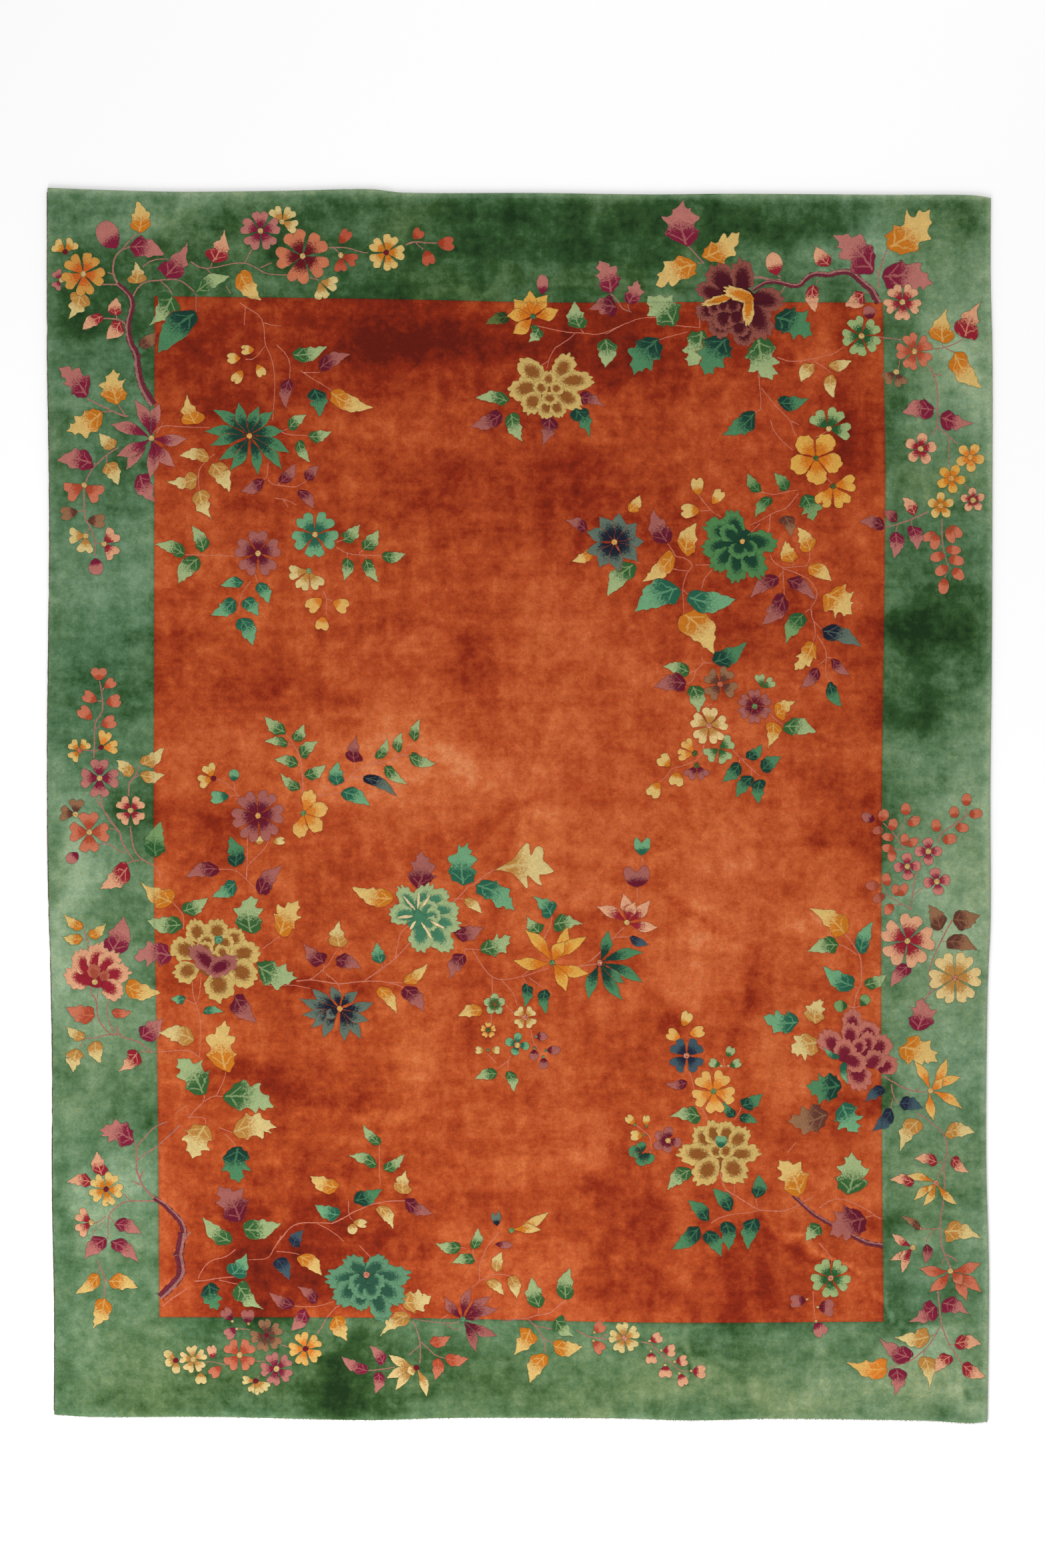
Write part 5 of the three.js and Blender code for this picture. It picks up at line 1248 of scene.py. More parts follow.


# Where the wool took the dye darker or paler, or warmer or bluer, and where the sheen of the leaning pile is
# painted in, making whole stretches paler or darker. Each row: the middle of the patch, its half length and
# half width, and how pale it is. Then, where not 0, how warm it is and its turn in degrees.
DYE_AND_PAINTED_LIGHT_PATCHES = [
    # the rust field, from the far end to the near one
    (-250, 1330, 900, 150, -0.75), (-330, 1400, 200, 110, -0.35), (-750, 1130, 260, 120, -0.35),
    (550, 1330, 480, 140, -0.35), (0, 1110, 120, 80, -0.3), (0, 880, 950, 170, -0.3),
    (250, 930, 200, 90, -0.2), (850, 1330, 110, 90, 0.45), (650, 560, 300, 160, -0.3),
    (-700, 340, 190, 55, -0.35), (-130, 400, 70, 120, -0.4), (80, 520, 120, 80, 0.25),
    (-560, 560, 200, 80, 0.1), (-330, 120, 190, 110, 0.6, 0, 10), (-60, 60, 200, 90, 0.35),
    (-120, 250, 70, 50, -0.3), (0, -40, 90, 30, -0.35, 0, 10), (-880, -80, 110, 100, -0.5),
    (250, 150, 260, 130, 0.1), (780, 20, 240, 180, -0.3), (900, -120, 110, 160, -0.3),
    (480, -440, 150, 160, 0.3), (650, -560, 45, 150, -0.4), (240, -420, 35, 110, -0.5, 0, 40),
    (390, -560, 60, 40, -0.4, 0, -45), (880, -480, 120, 120, 0.1), (-560, -540, 230, 60, -0.35),
    (-640, -790, 270, 70, -0.45), (-270, -820, 90, 190, 0.4), (-80, -960, 120, 90, 0.1),
    (100, -1040, 150, 60, 0.5), (240, -1050, 60, 90, -0.4, 0, -30), (350, -1170, 80, 120, -0.55),
    (640, -1290, 110, 190, -0.55, 0, 10), (700, -1400, 80, 90, -0.3), (300, -1380, 110, 60, -0.3),
    (-740, -1370, 230, 90, -0.5), (-500, -1130, 150, 130, -0.15), (0, -1330, 200, 100, 0.25),
    (930, -900, 90, 110, -0.3), (950, -1330, 70, 130, 0.15), (760, -700, 110, 130, 0.25),
    (-900, -1100, 130, 180, 0.2), (-850, -650, 170, 60, 0.2), (-420, 700, 260, 140, 0.15),
    (900, 1080, 100, 120, -0.7), (0, -250, 950, 420, 0.16), (910, -290, 110, 120, 0.5),
    (-650, 110, 150, 100, 0.35), (-300, -130, 110, 120, 0.25), (-880, 1250, 130, 200, -0.2),
    (350, 1200, 110, 90, -0.35), (-820, 700, 90, 60, -0.2), (-690, -1250, 300, 190, -0.65, 0.5),
    (-450, -850, 550, 520, 0, 0.6), (700, 950, 330, 480, 0, -0.6), (-300, 1250, 600, 220, 0, -0.3),
    (690, 20, 300, 440, 0.27), (0, 250, 330, 250, 0.2), (0, -750, 330, 200, 0.1),
    # the creases: a painted highlight beside a painted shadow along each
    (857, -1273, 205, 7, 0.7, 0, -34.4), (849, -1285, 205, 8, -0.5, 0, -34.4),
    (1120, -1450, 130, 6, 0.5, 0, -30), (530, -330, 160, 7, -0.4, 0, -38),
    (497, -1600, 110, 5, -0.5, 0, 90), (512, -1600, 110, 5, 0.4, 0, 90), (640, -520, 190, 6, -0.3, 0, 90),
    (-370, -950, 260, 7, -0.25, 0, 90), (-560, 60, 240, 6, 0.2, 0, 90),
    # the far border
    (100, 1640, 620, 130, -0.85), (700, 1660, 260, 90, -0.6), (-720, 1590, 480, 110, -0.4, 0.3),
    (-620, 1590, 130, 120, -0.6), (-1020, 1700, 170, 50, 0.5, 0.2), (-200, 1490, 190, 40, 0.1, 1.3),
    (250, 1470, 170, 40, 0.05, 1.2), (-300, 1660, 90, 60, 0.3, 1.0), (960, 1570, 150, 80, 0.5, -0.3),
    (1240, 1680, 80, 70, -0.6), (460, 1560, 60, 60, 0.2, 1.2), (-560, 1600, 230, 120, 0.4),
    (1000, 1600, 250, 120, 0.25),
    # the right border, from the far end to the near one
    (1230, 1290, 130, 200, 0.9), (1290, 1200, 60, 200, 0.4), (1080, 1120, 60, 120, -0.3),
    (1190, 900, 110, 90, 0.25, 0.9), (1180, 500, 170, 150, -0.95), (1110, 280, 90, 60, -0.8),
    (1060, -60, 40, 140, -0.6), (1280, 60, 90, 150, 0.7), (1190, 100, 90, 90, -0.2),
    (1240, -430, 140, 220, 0.6), (1100, -1520, 120, 60, 0.5), (1130, -250, 90, 60, 0.2),
    (1060, -850, 60, 60, -0.7), (1200, -760, 140, 140, 0.15), (1060, -1230, 60, 90, -0.6),
    (1190, -1120, 130, 120, -0.1), (1060, -1480, 50, 90, -0.7, 0, -50), (1180, -1420, 120, 50, -0.4),
    (1190, -1620, 160, 110, 0.6, 0.2), (1284, -1676, 22, 12, -0.9, 0, -30), (1200, -1050, 160, 600, 0.3),
    (1200, -50, 160, 330, 0.25), (1200, 1350, 150, 300, 0.15),
    # the near border, from the right to the left
    (800, -1650, 300, 90, 0.3, 0.4), (400, -1640, 160, 100, 0.25, 0.4), (80, -1640, 200, 100, -0.15, 0.2),
    (-500, -1640, 110, 110, -0.75, 0.3), (-1285, -150, 45, 160, 0.4), (-260, -1560, 120, 60, -0.3),
    (-780, -1560, 120, 60, 0.1), (-1080, -1630, 240, 110, 0.05, 0.3), (0, -1690, 1400, 80, -0.2, 0.5),
    (700, -1690, 420, 60, 0.3, 0.2), (1268, -1715, 100, 50, 0.7), (173, -1692, 120, 60, 0.3),
    (-324, -1700, 90, 50, -0.3), (1275, -420, 70, 200, 0.3), (560, -1590, 60, 12, -0.5, 0, -14),
    (-550, -1620, 240, 110, -0.15, 0.7), (250, -1620, 520, 110, 0.1, 0.7),
    (1050, -1620, 250, 110, 0.15, 0.1), (-1050, -1620, 260, 110, -0.12, 0.4),
    (-800, -1620, 480, 110, -0.1, 0.4),
    # the left border, from the near end to the far one
    (-1200, -700, 150, 700, 0.45, -0.1), (-1230, -180, 110, 160, 0.3), (-1100, 0, 70, 110, -0.9),
    (-1250, 1480, 110, 120, -0.3), (-1210, -1500, 110, 130, 0.25), (-1290, -1130, 40, 90, -0.5),
    (-1180, -1150, 120, 130, 0.4), (-1230, -1410, 60, 25, -0.5), (-1130, -870, 110, 110, -0.5),
    (-1300, -745, 40, 60, -0.5), (-1225, -1000, 70, 50, -0.3), (-1290, -420, 60, 300, 0.5, -0.2),
    (-1160, -600, 110, 120, 0.2), (-1149, -292, 60, 50, -0.6), (-1180, -30, 140, 90, 0.1, -0.3),
    (-1200, 330, 140, 190, -0.35, -0.8), (-1130, 560, 90, 90, 0.2, -0.5),
    (-1240, 730, 120, 110, 0.15, -0.5), (-1190, 960, 140, 110, -0.2, -0.4),
    (-1250, 1200, 100, 160, 0.15, -0.3), (-1180, 1440, 150, 110, -0.35), (-1200, -50, 150, 330, 0.13),
    (-1200, 650, 150, 320, 0.06), (-1200, 950, 160, 780, 0, -0.5),
]


BROAD_WANDER, FINE_WANDER = 30, 14


def wandered(points):
    """The points moved a little this way and that, so that no patch has an even edge."""
    x, y = points[:, 0], points[:, 1]
    broad = np.sin(x / 71 + 1.7 * np.sin(y / 93)), np.sin(y / 67 + 1.9 * np.sin(x / 101))
    fine = np.sin(y / 31 + 1.3 * np.sin(x / 37)), np.sin(x / 29 + 1.1 * np.sin(y / 41))
    return points + np.stack([BROAD_WANDER * b + FINE_WANDER * f for b, f in zip(broad, fine)], axis=1)


# A painted highlight where the pile's rounded edges catch the light, strongest on the right and far edges.
LIT_EDGE_STRIP = 17  # how wide the painted highlight is along the right and far edges
LIT_RIM_STRIP = 14  # how wide a weaker painted highlight is along all four
EDGE_HIGHLIGHT, RIM_HIGHLIGHT_SHARE = 0.7, 0.3
PATCH_FULLNESS = 1.3


def dye_and_painted_light_on(points):
    """How pale and how warm the ground's wool is at each point: its uneven dye, the painted sheen of the
    pile, and a painted highlight along its edges.
    """
    pale = np.zeros(len(points))
    warm = np.zeros(len(points))
    moved = wandered(points)
    for x, y, half_length, half_width, paler, *seldom in DYE_AND_PAINTED_LIGHT_PATCHES:
        warmer, turn = (*seldom, 0, 0)[:2]
        over = moved - (x, y)
        cos, sin = math.cos(math.radians(turn)), math.sin(math.radians(turn))
        along = (over[:, 0] * cos + over[:, 1] * sin) / half_length
        across = (over[:, 1] * cos - over[:, 0] * sin) / half_width
        strength = np.exp(-((along**2 + across**2) ** PATCH_FULLNESS))
        pale += paler * strength
        warm += warmer * strength
    x, y = points[:, 0], points[:, 1]
    # The painted highlight along the pile's edges, where their rounded sides catch the light.
    to_right_or_far = np.minimum(PILE_SIDES[1](y) - x, PILE_SIDES[3](x) - y)
    painted_rim_highlight = np.exp(-((to_right_or_far / LIT_EDGE_STRIP) ** 2))
    painted_rim_highlight = painted_rim_highlight + RIM_HIGHLIGHT_SHARE * np.exp(-((how_far_in(points, PILE_SIDES) / LIT_RIM_STRIP) ** 2))
    return pale + EDGE_HIGHLIGHT * painted_rim_highlight, warm


def piece_from(name, points, faces, shows, attributes):
    """A piece of the carpet from some of its triangles, with its wool's shades on their corners."""
    used, corners = np.unique(faces, return_inverse=True)
    mesh = bpy.data.meshes.new(name)
    mesh.from_pydata(points[used] * MM, [], corners.reshape(-1, 3))
    flat = points[faces.ravel(), :2]
    motifs = np.repeat(shows, 3)
    dark, light, grain = shades_at(flat, motifs)
    for title, colours in (("Stalk shade", dark), ("Tip shade", light)):
        layer = mesh.color_attributes.new(title, "FLOAT_COLOR", "CORNER")
        layer.data.foreach_set("color", np.hstack([colours, np.ones((len(colours), 1))]).ravel())
    mesh.uv_layers.new(name="Growth").data.foreach_set("uv", grain.ravel())
    for title, values in attributes.items():
        mesh.attributes.new(title, "FLOAT", "POINT").data.foreach_set("value", values[used])
    mesh.shade_smooth()
    piece = bpy.data.objects.new(name, mesh)
    bpy.context.collection.objects.link(piece)
    return piece


GROUND_SHADES = {"border": dyed(82, 122, 88), "field": dyed(176, 74, 34)}
NO_VEINS = 4  # this far out to the side, a motif has no veins
MOST_RIM = 1.4


def shades_at(flat, motifs):
    """Each corner's two shades, and its place in the motif: along it, 0.5 where they meet, and across."""
    kept = "stalk heading length half_width bow reach rim spot shaded veined".split()
    table = {key: np.array([placed[key] for placed in design], float) for key in kept}
    on_motif = motifs >= 0
    k = np.where(on_motif, motifs, 0)
    over = flat - table["stalk"][k]
    heading = table["heading"][k]
    along = (over * heading).sum(axis=1) / table["length"][k]
    bow = table["bow"][k] * table["length"][k] * np.sin(np.pi * np.clip(along, 0, 1))
    across = over[:, 1] * heading[:, 0] - over[:, 0] * heading[:, 1] - bow
    side = across / table["half_width"][k]
    growth = 0.5 * along / table["reach"][k] + table["rim"][k] * np.minimum(side**2, MOST_RIM)
    spot = table["spot"][k]
    beyond = np.where(spot < 0.45, np.maximum(along - spot, 0), along - spot) / np.maximum(1 - spot, 0.1)
    growth = np.where(spot > 0, 0.5 * np.hypot(beyond, side) / table["reach"][k], growth)
    growth = np.where(table["shaded"][k] > 0, growth, 0.5)
    side = side + np.where(table["veined"][k] > 0, 0, NO_VEINS)
    ground = [GROUND_SHADES["border"], GROUND_SHADES["field"]]  # the last two, which -2 and -1 pick
    dark, light = (np.array([DYES[placed["dye"]][k] for placed in design] + ground)[motifs] for k in (0, 1))
    return dark, light, np.stack([growth, side], axis=1)


flat, faces = cut_surface(PILE_SIDES, PILE_STEP, design, True)
shows = motif_on(flat[faces].mean(axis=1))
clipped = clipped_round(faces, shows, len(flat))
from_edge = np.clip(how_far_in(flat, PILE_SIDES), 0, SHOULDER) / SHOULDER
pile = (THICKNESS - BACK_THICKNESS) * np.sqrt(1 - (1 - from_edge) ** SHOULDER_FULLNESS)
parting = smooth(1 - np.abs(how_far_in(flat, FIELD_SIDES)) / BORDER_GROOVE)
grooves = np.maximum(GROOVE_DEPTH * clipped, BORDER_GROOVE_DEPTH * parting)
height = lift(flat) + BACK_THICKNESS + pile - grooves
surface = np.column_stack([flat, height])
pale, warm = dye_and_painted_light_on(flat)
# "Clipped" marks where painted shade darkens the wool: fully in the clipped grooves, and a little less in the
# groove between field and border.
PARTING_SHADE = 0.8
wool_attributes = {
    "Clipped": np.maximum(clipped, PARTING_SHADE * parting),
    "Paleness": pale,
    "Warmth": warm,
    "Outline": clipped,
    "In field": (how_far_in(flat, FIELD_SIDES) > 0).astype(float),
}


def new_node(tree, kind, settings=None, values=None):
    """A node of this type. Its settings are made first, and then the values, wires or sockets go in."""
    made = tree.nodes.new(kind)
    for name, setting in (settings or {}).items():
        if name == "stops":
            while len(made.color_ramp.elements) < len(setting):
                made.color_ramp.elements.new(0.5)
            for element, (place, shade) in zip(made.color_ramp.elements, setting):
                element.position, element.color = place, shade
        else:
            setattr(made, name, setting)
    for key, value in (values or {}).items():
        source = getattr(value, "socket", value)
        if isinstance(source, bpy.types.NodeSocket):
            tree.links.new(source, made.inputs[key])
        else:
            made.inputs[key].default_value = value
    return made


class Wire:
    """A socket in a material. Sums and products of wires add the nodes that work them out."""

    def __init__(self, tree, socket):
        self.tree = tree
        self.socket = socket

    @property
    def is_vector(self):
        return self.socket.type in ("VECTOR", "RGBA")

    def node(self, kind, settings=None, values=None, output=0):
        """Any other node, and a wire from one of its outputs."""
        return Wire(self.tree, new_node(self.tree, kind, settings, values).outputs[output])

    def parts(self):
        """A vector's three numbers."""
        node = self.node("ShaderNodeSeparateXYZ", None, {0: self}).socket.node
        return [Wire(self.tree, output) for output in node.outputs]

    def greyed(self, grey):
        """A colour made darker or brighter by a number that is a wire."""
        return self * self.node("ShaderNodeCombineXYZ", None, {0: grey, 1: grey, 2: grey})

    def into(self, socket):
        self.tree.links.new(self.socket, socket)

    def maths(self, operation, *others):
        wires = (self, *others)
        if any(isinstance(w, tuple) or isinstance(w, Wire) and w.is_vector for w in wires):
            wires = [w if isinstance(w, (Wire, tuple)) else (w, w, w) for w in wires]
            return self.node("ShaderNodeVectorMath", {"operation": operation}, dict(enumerate(wires)))
        return self.node("ShaderNodeMath", {"operation": operation}, dict(enumerate(wires)))

    def __add__(self, other):
        return self.maths("ADD", other)

    def __sub__(self, other):
        return self.maths("SUBTRACT", other)

    def __rsub__(self, other):
        return self.node("ShaderNodeMath", {"operation": "SUBTRACT"}, {0: other, 1: self})

    def __mul__(self, other):
        return self.maths("MULTIPLY", other)

    __radd__ = __add__
    __rmul__ = __mul__

    def __truediv__(self, other):
        return self.maths("DIVIDE", other)

    def __abs__(self):
        return self.maths("ABSOLUTE")

    def rise(self, low, high):
        """0 below low, 1 above high, and a smooth rise between."""
        settings = {"interpolation_type": "SMOOTHSTEP"}
        return self.node("ShaderNodeMapRange", settings, {"Value": self, "From Min": low, "From Max": high})

    def mixed(self, first, second):
        """The first colour where this wire is 0, the second where it is 1."""
        values = {"Factor": self, 6: first, 7: second}
        return self.node("ShaderNodeMix", {"data_type": "RGBA"}, values, output=2)


def new_material(name):
    """A material, its shader, and a wire to start its nodes from: the piece's own coordinates."""
    material = bpy.data.materials.new(name)
    material.use_nodes = True
    tree = material.node_tree
    shader = tree.nodes["Principled BSDF"]
    place = Wire(tree, tree.nodes.new("ShaderNodeTexCoord").outputs["Object"])
    return material, shader, place


def colour(rgb):
    return (float(rgb[0]), float(rgb[1]), float(rgb[2]), 1.0)


def clouds(place, per_metre, detail=2.0, roughness=0.5):
    """Soft noise from 0 to 1."""
    values = {"Vector": place, "Scale": per_metre, "Detail": detail, "Roughness": roughness}
    return place.node("ShaderNodeTexNoise", None, values)


KNOT = 3.4 * MM


def each_knot(place):
    """A different value from 0 to 1 for each knot."""
    knots = place.node("ShaderNodeVectorMath", {"operation": "SNAP"}, {0: place, 1: (KNOT, KNOT, 10)})
    return knots.node("ShaderNodeTexWhiteNoise", None, {"Vector": knots}, output="Value")


def bumped(shader, relief, strength, height):
    """Raises a relief on a surface, as high as this in millimetres."""
    values = {"Strength": strength, "Distance": height * MM, "Height": relief}
    relief.node("ShaderNodeBump", None, values).into(shader.inputs["Normal"])


def evenly_set(shader, values):
    """Sets what is the same all over a surface."""
    for name, value in values.items():
        shader.inputs[name].default_value = value


GROOVE_SHADE = 0.17
TUFT_RELIEF, TUFT_HEIGHT = 0.45, 1.2


def wool_finish(shader, place, shade, clipped=None):
    """Ends a wool material: the tufts' cut ends stand up, and a little shade lies in any clipped grooves."""
    tufts = each_knot(place)
    fibres = clouds(place, 700, 2)
    weft = clouds(place.maths("MULTIPLY", (120, 330, 1)), 1, 3, 0.65)
    grain = clouds(place, 130, 4, 0.75)
    bright = 0.26 + 0.09 * tufts + 0.3 * fibres + 0.3 * weft + 0.5 * grain
    # painted shade in the clipped grooves
    if clipped:
        bright = bright - GROOVE_SHADE * clipped.rise(0, 1)
    bright = bright + 0.2 * each_knot(place + (0.5, 0.3, 0)).rise(0.994, 1)
    shade.greyed(bright).into(shader.inputs["Base Color"])
    relief = 0.5 * fibres + 0.2 * tufts + 0.6 * weft
    bumped(shader, relief, TUFT_RELIEF, TUFT_HEIGHT)
    evenly_set(shader, {"Roughness": 0.9, "Specular IOR Level": 0.15})
    evenly_set(shader, {"Sheen Weight": 0.08, "Sheen Roughness": 0.5})


def attribute(place, title, output="Fac"):
    return place.node("ShaderNodeAttribute", {"attribute_name": title}, None, output)


def ground_wool(name, shades, warm_shade, blue_shade):
    """The wool of the field or the border, mottled by uneven dye and by the painted sheen of the leaning
    pile. Its shades go from dark to pale.
    """
    material, shader, place = new_material(name)
    broad = clouds(place, 2.4, 3, 0.6) - 0.5
    smoky = clouds(place, 11, 5, 0.62) - 0.5
    rows = clouds(place.maths("MULTIPLY", (1.6, 15, 1)), 1, 4, 0.62) - 0.5
    columns = clouds(place.maths("MULTIPLY", (17, 1.9, 1)), 1, 4, 0.62) - 0.5
    crushed = clouds(place, 30, 6, 0.72) - 0.5
    tone = 0.5 + 0.42 * attribute(place, "Paleness") + 0.5 * broad + 0.5 * smoky
    tone = tone + 0.44 * rows + 0.34 * columns + 0.85 * crushed
    stops = [(k / (len(shades) - 1), colour(shade)) for k, shade in enumerate(shades)]
    shade = place.node("ShaderNodeValToRGB", {"stops": stops}, {0: tone})
    warmth = attribute(place, "Warmth") + 2.2 * (clouds(place, 3.3, 3) - 0.5)
    warmth = warmth + 1.5 * (each_knot(place) - 0.5) + 1.6 * (clouds(place, 55, 4, 0.6) - 0.5)
    shade = (warmth.rise(0.1, 1.2) * 0.8).mixed(shade, shade * warm_shade)
    shade = ((warmth * -1).rise(0.1, 1.2) * 0.8).mixed(shade, shade * blue_shade)
    wool_finish(shader, place, shade, attribute(place, "Clipped"))
    return material


def motif_wool(name, frayed):
    """The wool of the motifs, in two shades that run into each other, with pale veins over the darker one."""
    material, shader, place = new_material(name)
    growth, side, _ = place.node("ShaderNodeUVMap", {"uv_map": "Growth"}).parts()
    wander = (clouds(place, 70, 2) - 0.5) * 0.24
    side = side + wander
    across = abs(side)
    ragged = (each_knot(place) - 0.5) * 0.11 + (clouds(place, 240, 3, 0.7) - 0.5) * 0.6
    mix = (growth + ragged).rise(0.34, 0.64)
    dark = attribute(place, "Stalk shade", "Color")
    light = attribute(place, "Tip shade", "Color")
    uneven = 0.88 + 0.24 * clouds(place, 26, 3)
    shade = mix.mixed(dark, light)
    midrib = 1 - across.rise(0.04, 0.1)
    slant = (growth * 4.2 - across * 1.4 + wander * 2).maths("FRACT")
    ribs = (1 - abs(slant - 0.5).rise(0.05, 0.12)) * (1 - across.rise(0.55, 0.8))
    veins = midrib.maths("MAXIMUM", ribs * 0.8) * (1 - growth.rise(0.4, 0.75)) * growth.rise(0.02, 0.08)
    shade = (veins * 0.62).mixed(shade, light)
    shade = shade.greyed(uneven)
    if frayed:
        strays = attribute(place, "Outline") + 0.5 * each_knot(place + (0.2, 0.7, 0))
        strays = strays + 0.7 * clouds(place, 260, 3, 0.6)
        border, field = (colour(GROUND_SHADES[part]) for part in ("border", "field"))
        ground = attribute(place, "In field").mixed(border, field)
        shade = (strays.rise(1.22, 1.38) * 0.8).mixed(shade, ground)
    wool_finish(shader, place, shade, attribute(place, "Clipped"))
    return material


FIELD_WOOL = ground_wool(
    "rust field wool",
    [dyed(100, 18, 0), dyed(142, 38, 6), dyed(179, 72, 28), dyed(206, 102, 53), dyed(224, 136, 88)],
    (1.04, 1.12, 0.9), (0.98, 0.86, 0.9),
)
BORDER_WOOL = ground_wool(
    "green border wool",
    [dyed(20, 50, 17), dyed(47, 83, 40), dyed(87, 121, 82), dyed(121, 149, 112), dyed(154, 176, 139)],
    (1.2, 1.0, 0.8), (0.9, 1.0, 1.12),
)
FRAYED_WOOL = motif_wool("leaf and blossom wool", True)
EVEN_WOOL = motif_wool("branch and peony wool", False)

kind_of = np.array([placed["kind"] for placed in design] + ["border", "field"])
kinds = kind_of[shows]
for kind, name, material in (
    ("field", "field_pile", FIELD_WOOL),
    ("border", "border_pile", BORDER_WOOL),
    ("stem", "stem_pile", EVEN_WOOL),
    ("leaf", "leaf_pile", FRAYED_WOOL),
    ("blossom", "blossom_pile", FRAYED_WOOL),
    ("peony", "peony_pile", EVEN_WOOL),
):
    chosen = kinds == kind
    piece = piece_from(name, surface, faces[chosen], shows[chosen], wool_attributes)
    piece.data.materials.append(material)
    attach(piece, "root")
    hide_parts("pile_carpet")

# ---------------------------------------------------------------- the woven back
# The foundation is a dense web of cotton warps and wefts, and the loop of each wool knot shows through it in
# rows, so the design can be read on the underside too. It is a closed web 3.5 mm thick under the pile.

BACK_STEP = 30
flat_under, under_faces = cut_surface(BACK_SIDES, BACK_STEP, design, False)
flat_over, over_faces = cut_surface(BACK_SIDES, BACK_STEP, [], False)
under = np.column_stack([flat_under, lift(flat_under)])
over = np.column_stack([flat_over, lift(flat_over) + BACK_THICKNESS])
count = len(under)
rim = []
for point in loop_inside(BACK_SIDES, 0, RIM_STEP):
    low, high = (int(np.abs(flat - point).sum(axis=1).argmin()) for flat in (flat_under, flat_over))
    rim.append((low, high + count))
walls = []
for (low, high), (next_low, next_high) in zip(rim, rim[1:] + rim[:1]):
    walls += [(low, next_low, next_high), (low, next_high, high)]
back_faces = np.vstack([under_faces[:, ::-1], over_faces + count, walls])
shows_under = motif_on(flat_under[under_faces].mean(axis=1))
shows_back = np.concatenate([shows_under, np.full(len(over_faces) + len(walls), BORDER)])
woven_back = piece_from("woven_back", np.vstack([under, over]), back_faces, shows_back, {})


def back_material():
    material, shader, place = new_material("knotted back")
    growth = place.node("ShaderNodeUVMap", {"uv_map": "Growth"}).parts()[0]
    dark, light = (attribute(place, title, "Color") for title in ("Stalk shade", "Tip shade"))
    shade = growth.rise(0.36, 0.62).mixed(dark, light)
    x, y, _ = place.parts()
    loops = abs((x / KNOT).maths("FRACT") - 0.5).rise(0.5, 0.2)
    rows = abs((y / KNOT).maths("FRACT") - 0.5).rise(0.48, 0.2)
    knots = loops * rows
    shade = ((1 - rows) * 0.55).mixed(shade.maths("MULTIPLY", (0.9, 0.9, 0.9)), colour(dyed(196, 176, 138)))
    shade = (0.35 * (1 - knots) + 0.2 * clouds(place, 40, 3)).mixed(shade, colour(dyed(70, 58, 44)))
    shade.into(shader.inputs["Base Color"])
    bumped(shader, knots + 0.3 * clouds(place, 500, 2), 0.6, 1.5)
    evenly_set(shader, {"Roughness": 0.92, "Specular IOR Level": 0.2})
    return material


woven_back.data.materials.append(back_material())
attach(woven_back, "root")
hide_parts("pile_carpet")

# ---------------------------------------------------------------- the side cords
# Each long side is finished with a core of warps that is overcast with dark olive-brown wool, turn by turn.
# The left one is thick and knobbly, and the right one is thinner and worn down to brown.


def geometry_tree(name, sizes):
    """A Geometry Nodes tree with named inputs: sizes, a material, and the geometry that it works on."""
    tree = bpy.data.node_groups.new(name, "GeometryNodeTree")
    tree.interface.new_socket("Geometry", in_out="INPUT", socket_type="NodeSocketGeometry")
    for title, value in sizes.items():
        kind = "NodeSocketInt" if isinstance(value, int) else "NodeSocketFloat"
        tree.interface.new_socket(title, in_out="INPUT", socket_type=kind).default_value = value
    tree.interface.new_socket("Finish", in_out="INPUT", socket_type="NodeSocketMaterial")
    tree.interface.new_socket("Geometry", in_out="OUTPUT", socket_type="NodeSocketGeometry")
    given = tree.nodes.new("NodeGroupInput")

    def add(kind, settings=None, values=None, output=0):
        return new_node(tree, kind, settings, values).outputs[output]

    def end(*results):
        both = add("GeometryNodeJoinGeometry")
        for result in results:
            tree.links.new(result, both.node.inputs[0])
        whole = add("GeometryNodeRealizeInstances", None, {0: both})
        finished = add("GeometryNodeSetMaterial", None, {0: whole, 2: given.outputs["Finish"]})
        tree.links.new(finished, tree.nodes.new("NodeGroupOutput").inputs[0])

    return tree, given.outputs, add, end


def run_tree(tree, name, line, values):
    """The plain mesh that a tree makes along a line of points, as an object."""
    path = bpy.data.curves.new(name, "CURVE")
    path.dimensions = "3D"
    spline = path.splines.new("POLY")
    spline.points.add(len(line) - 1)
    for point, place in zip(spline.points, line):
        point.co = (*(np.array(place) * MM), 1)
    carrier = bpy.data.objects.new(name + "_path", path)
    bpy.context.collection.objects.link(carrier)
    modifier = carrier.modifiers.new("tree", "NODES")
    modifier.node_group = tree
    identifiers = {item.name: item.identifier for item in tree.interface.items_tree if item.in_out == "INPUT"}
    for title, value in values.items():
        modifier[identifiers[title]] = value
    evaluated = carrier.evaluated_get(bpy.context.evaluated_depsgraph_get())
    mesh = bpy.data.meshes.new_from_object(evaluated)
    mesh.name = name
    carrier.modifiers.remove(modifier)
    bpy.data.objects.remove(carrier)
    piece = bpy.data.objects.new(name, mesh)
    bpy.context.collection.objects.link(piece)
    return piece


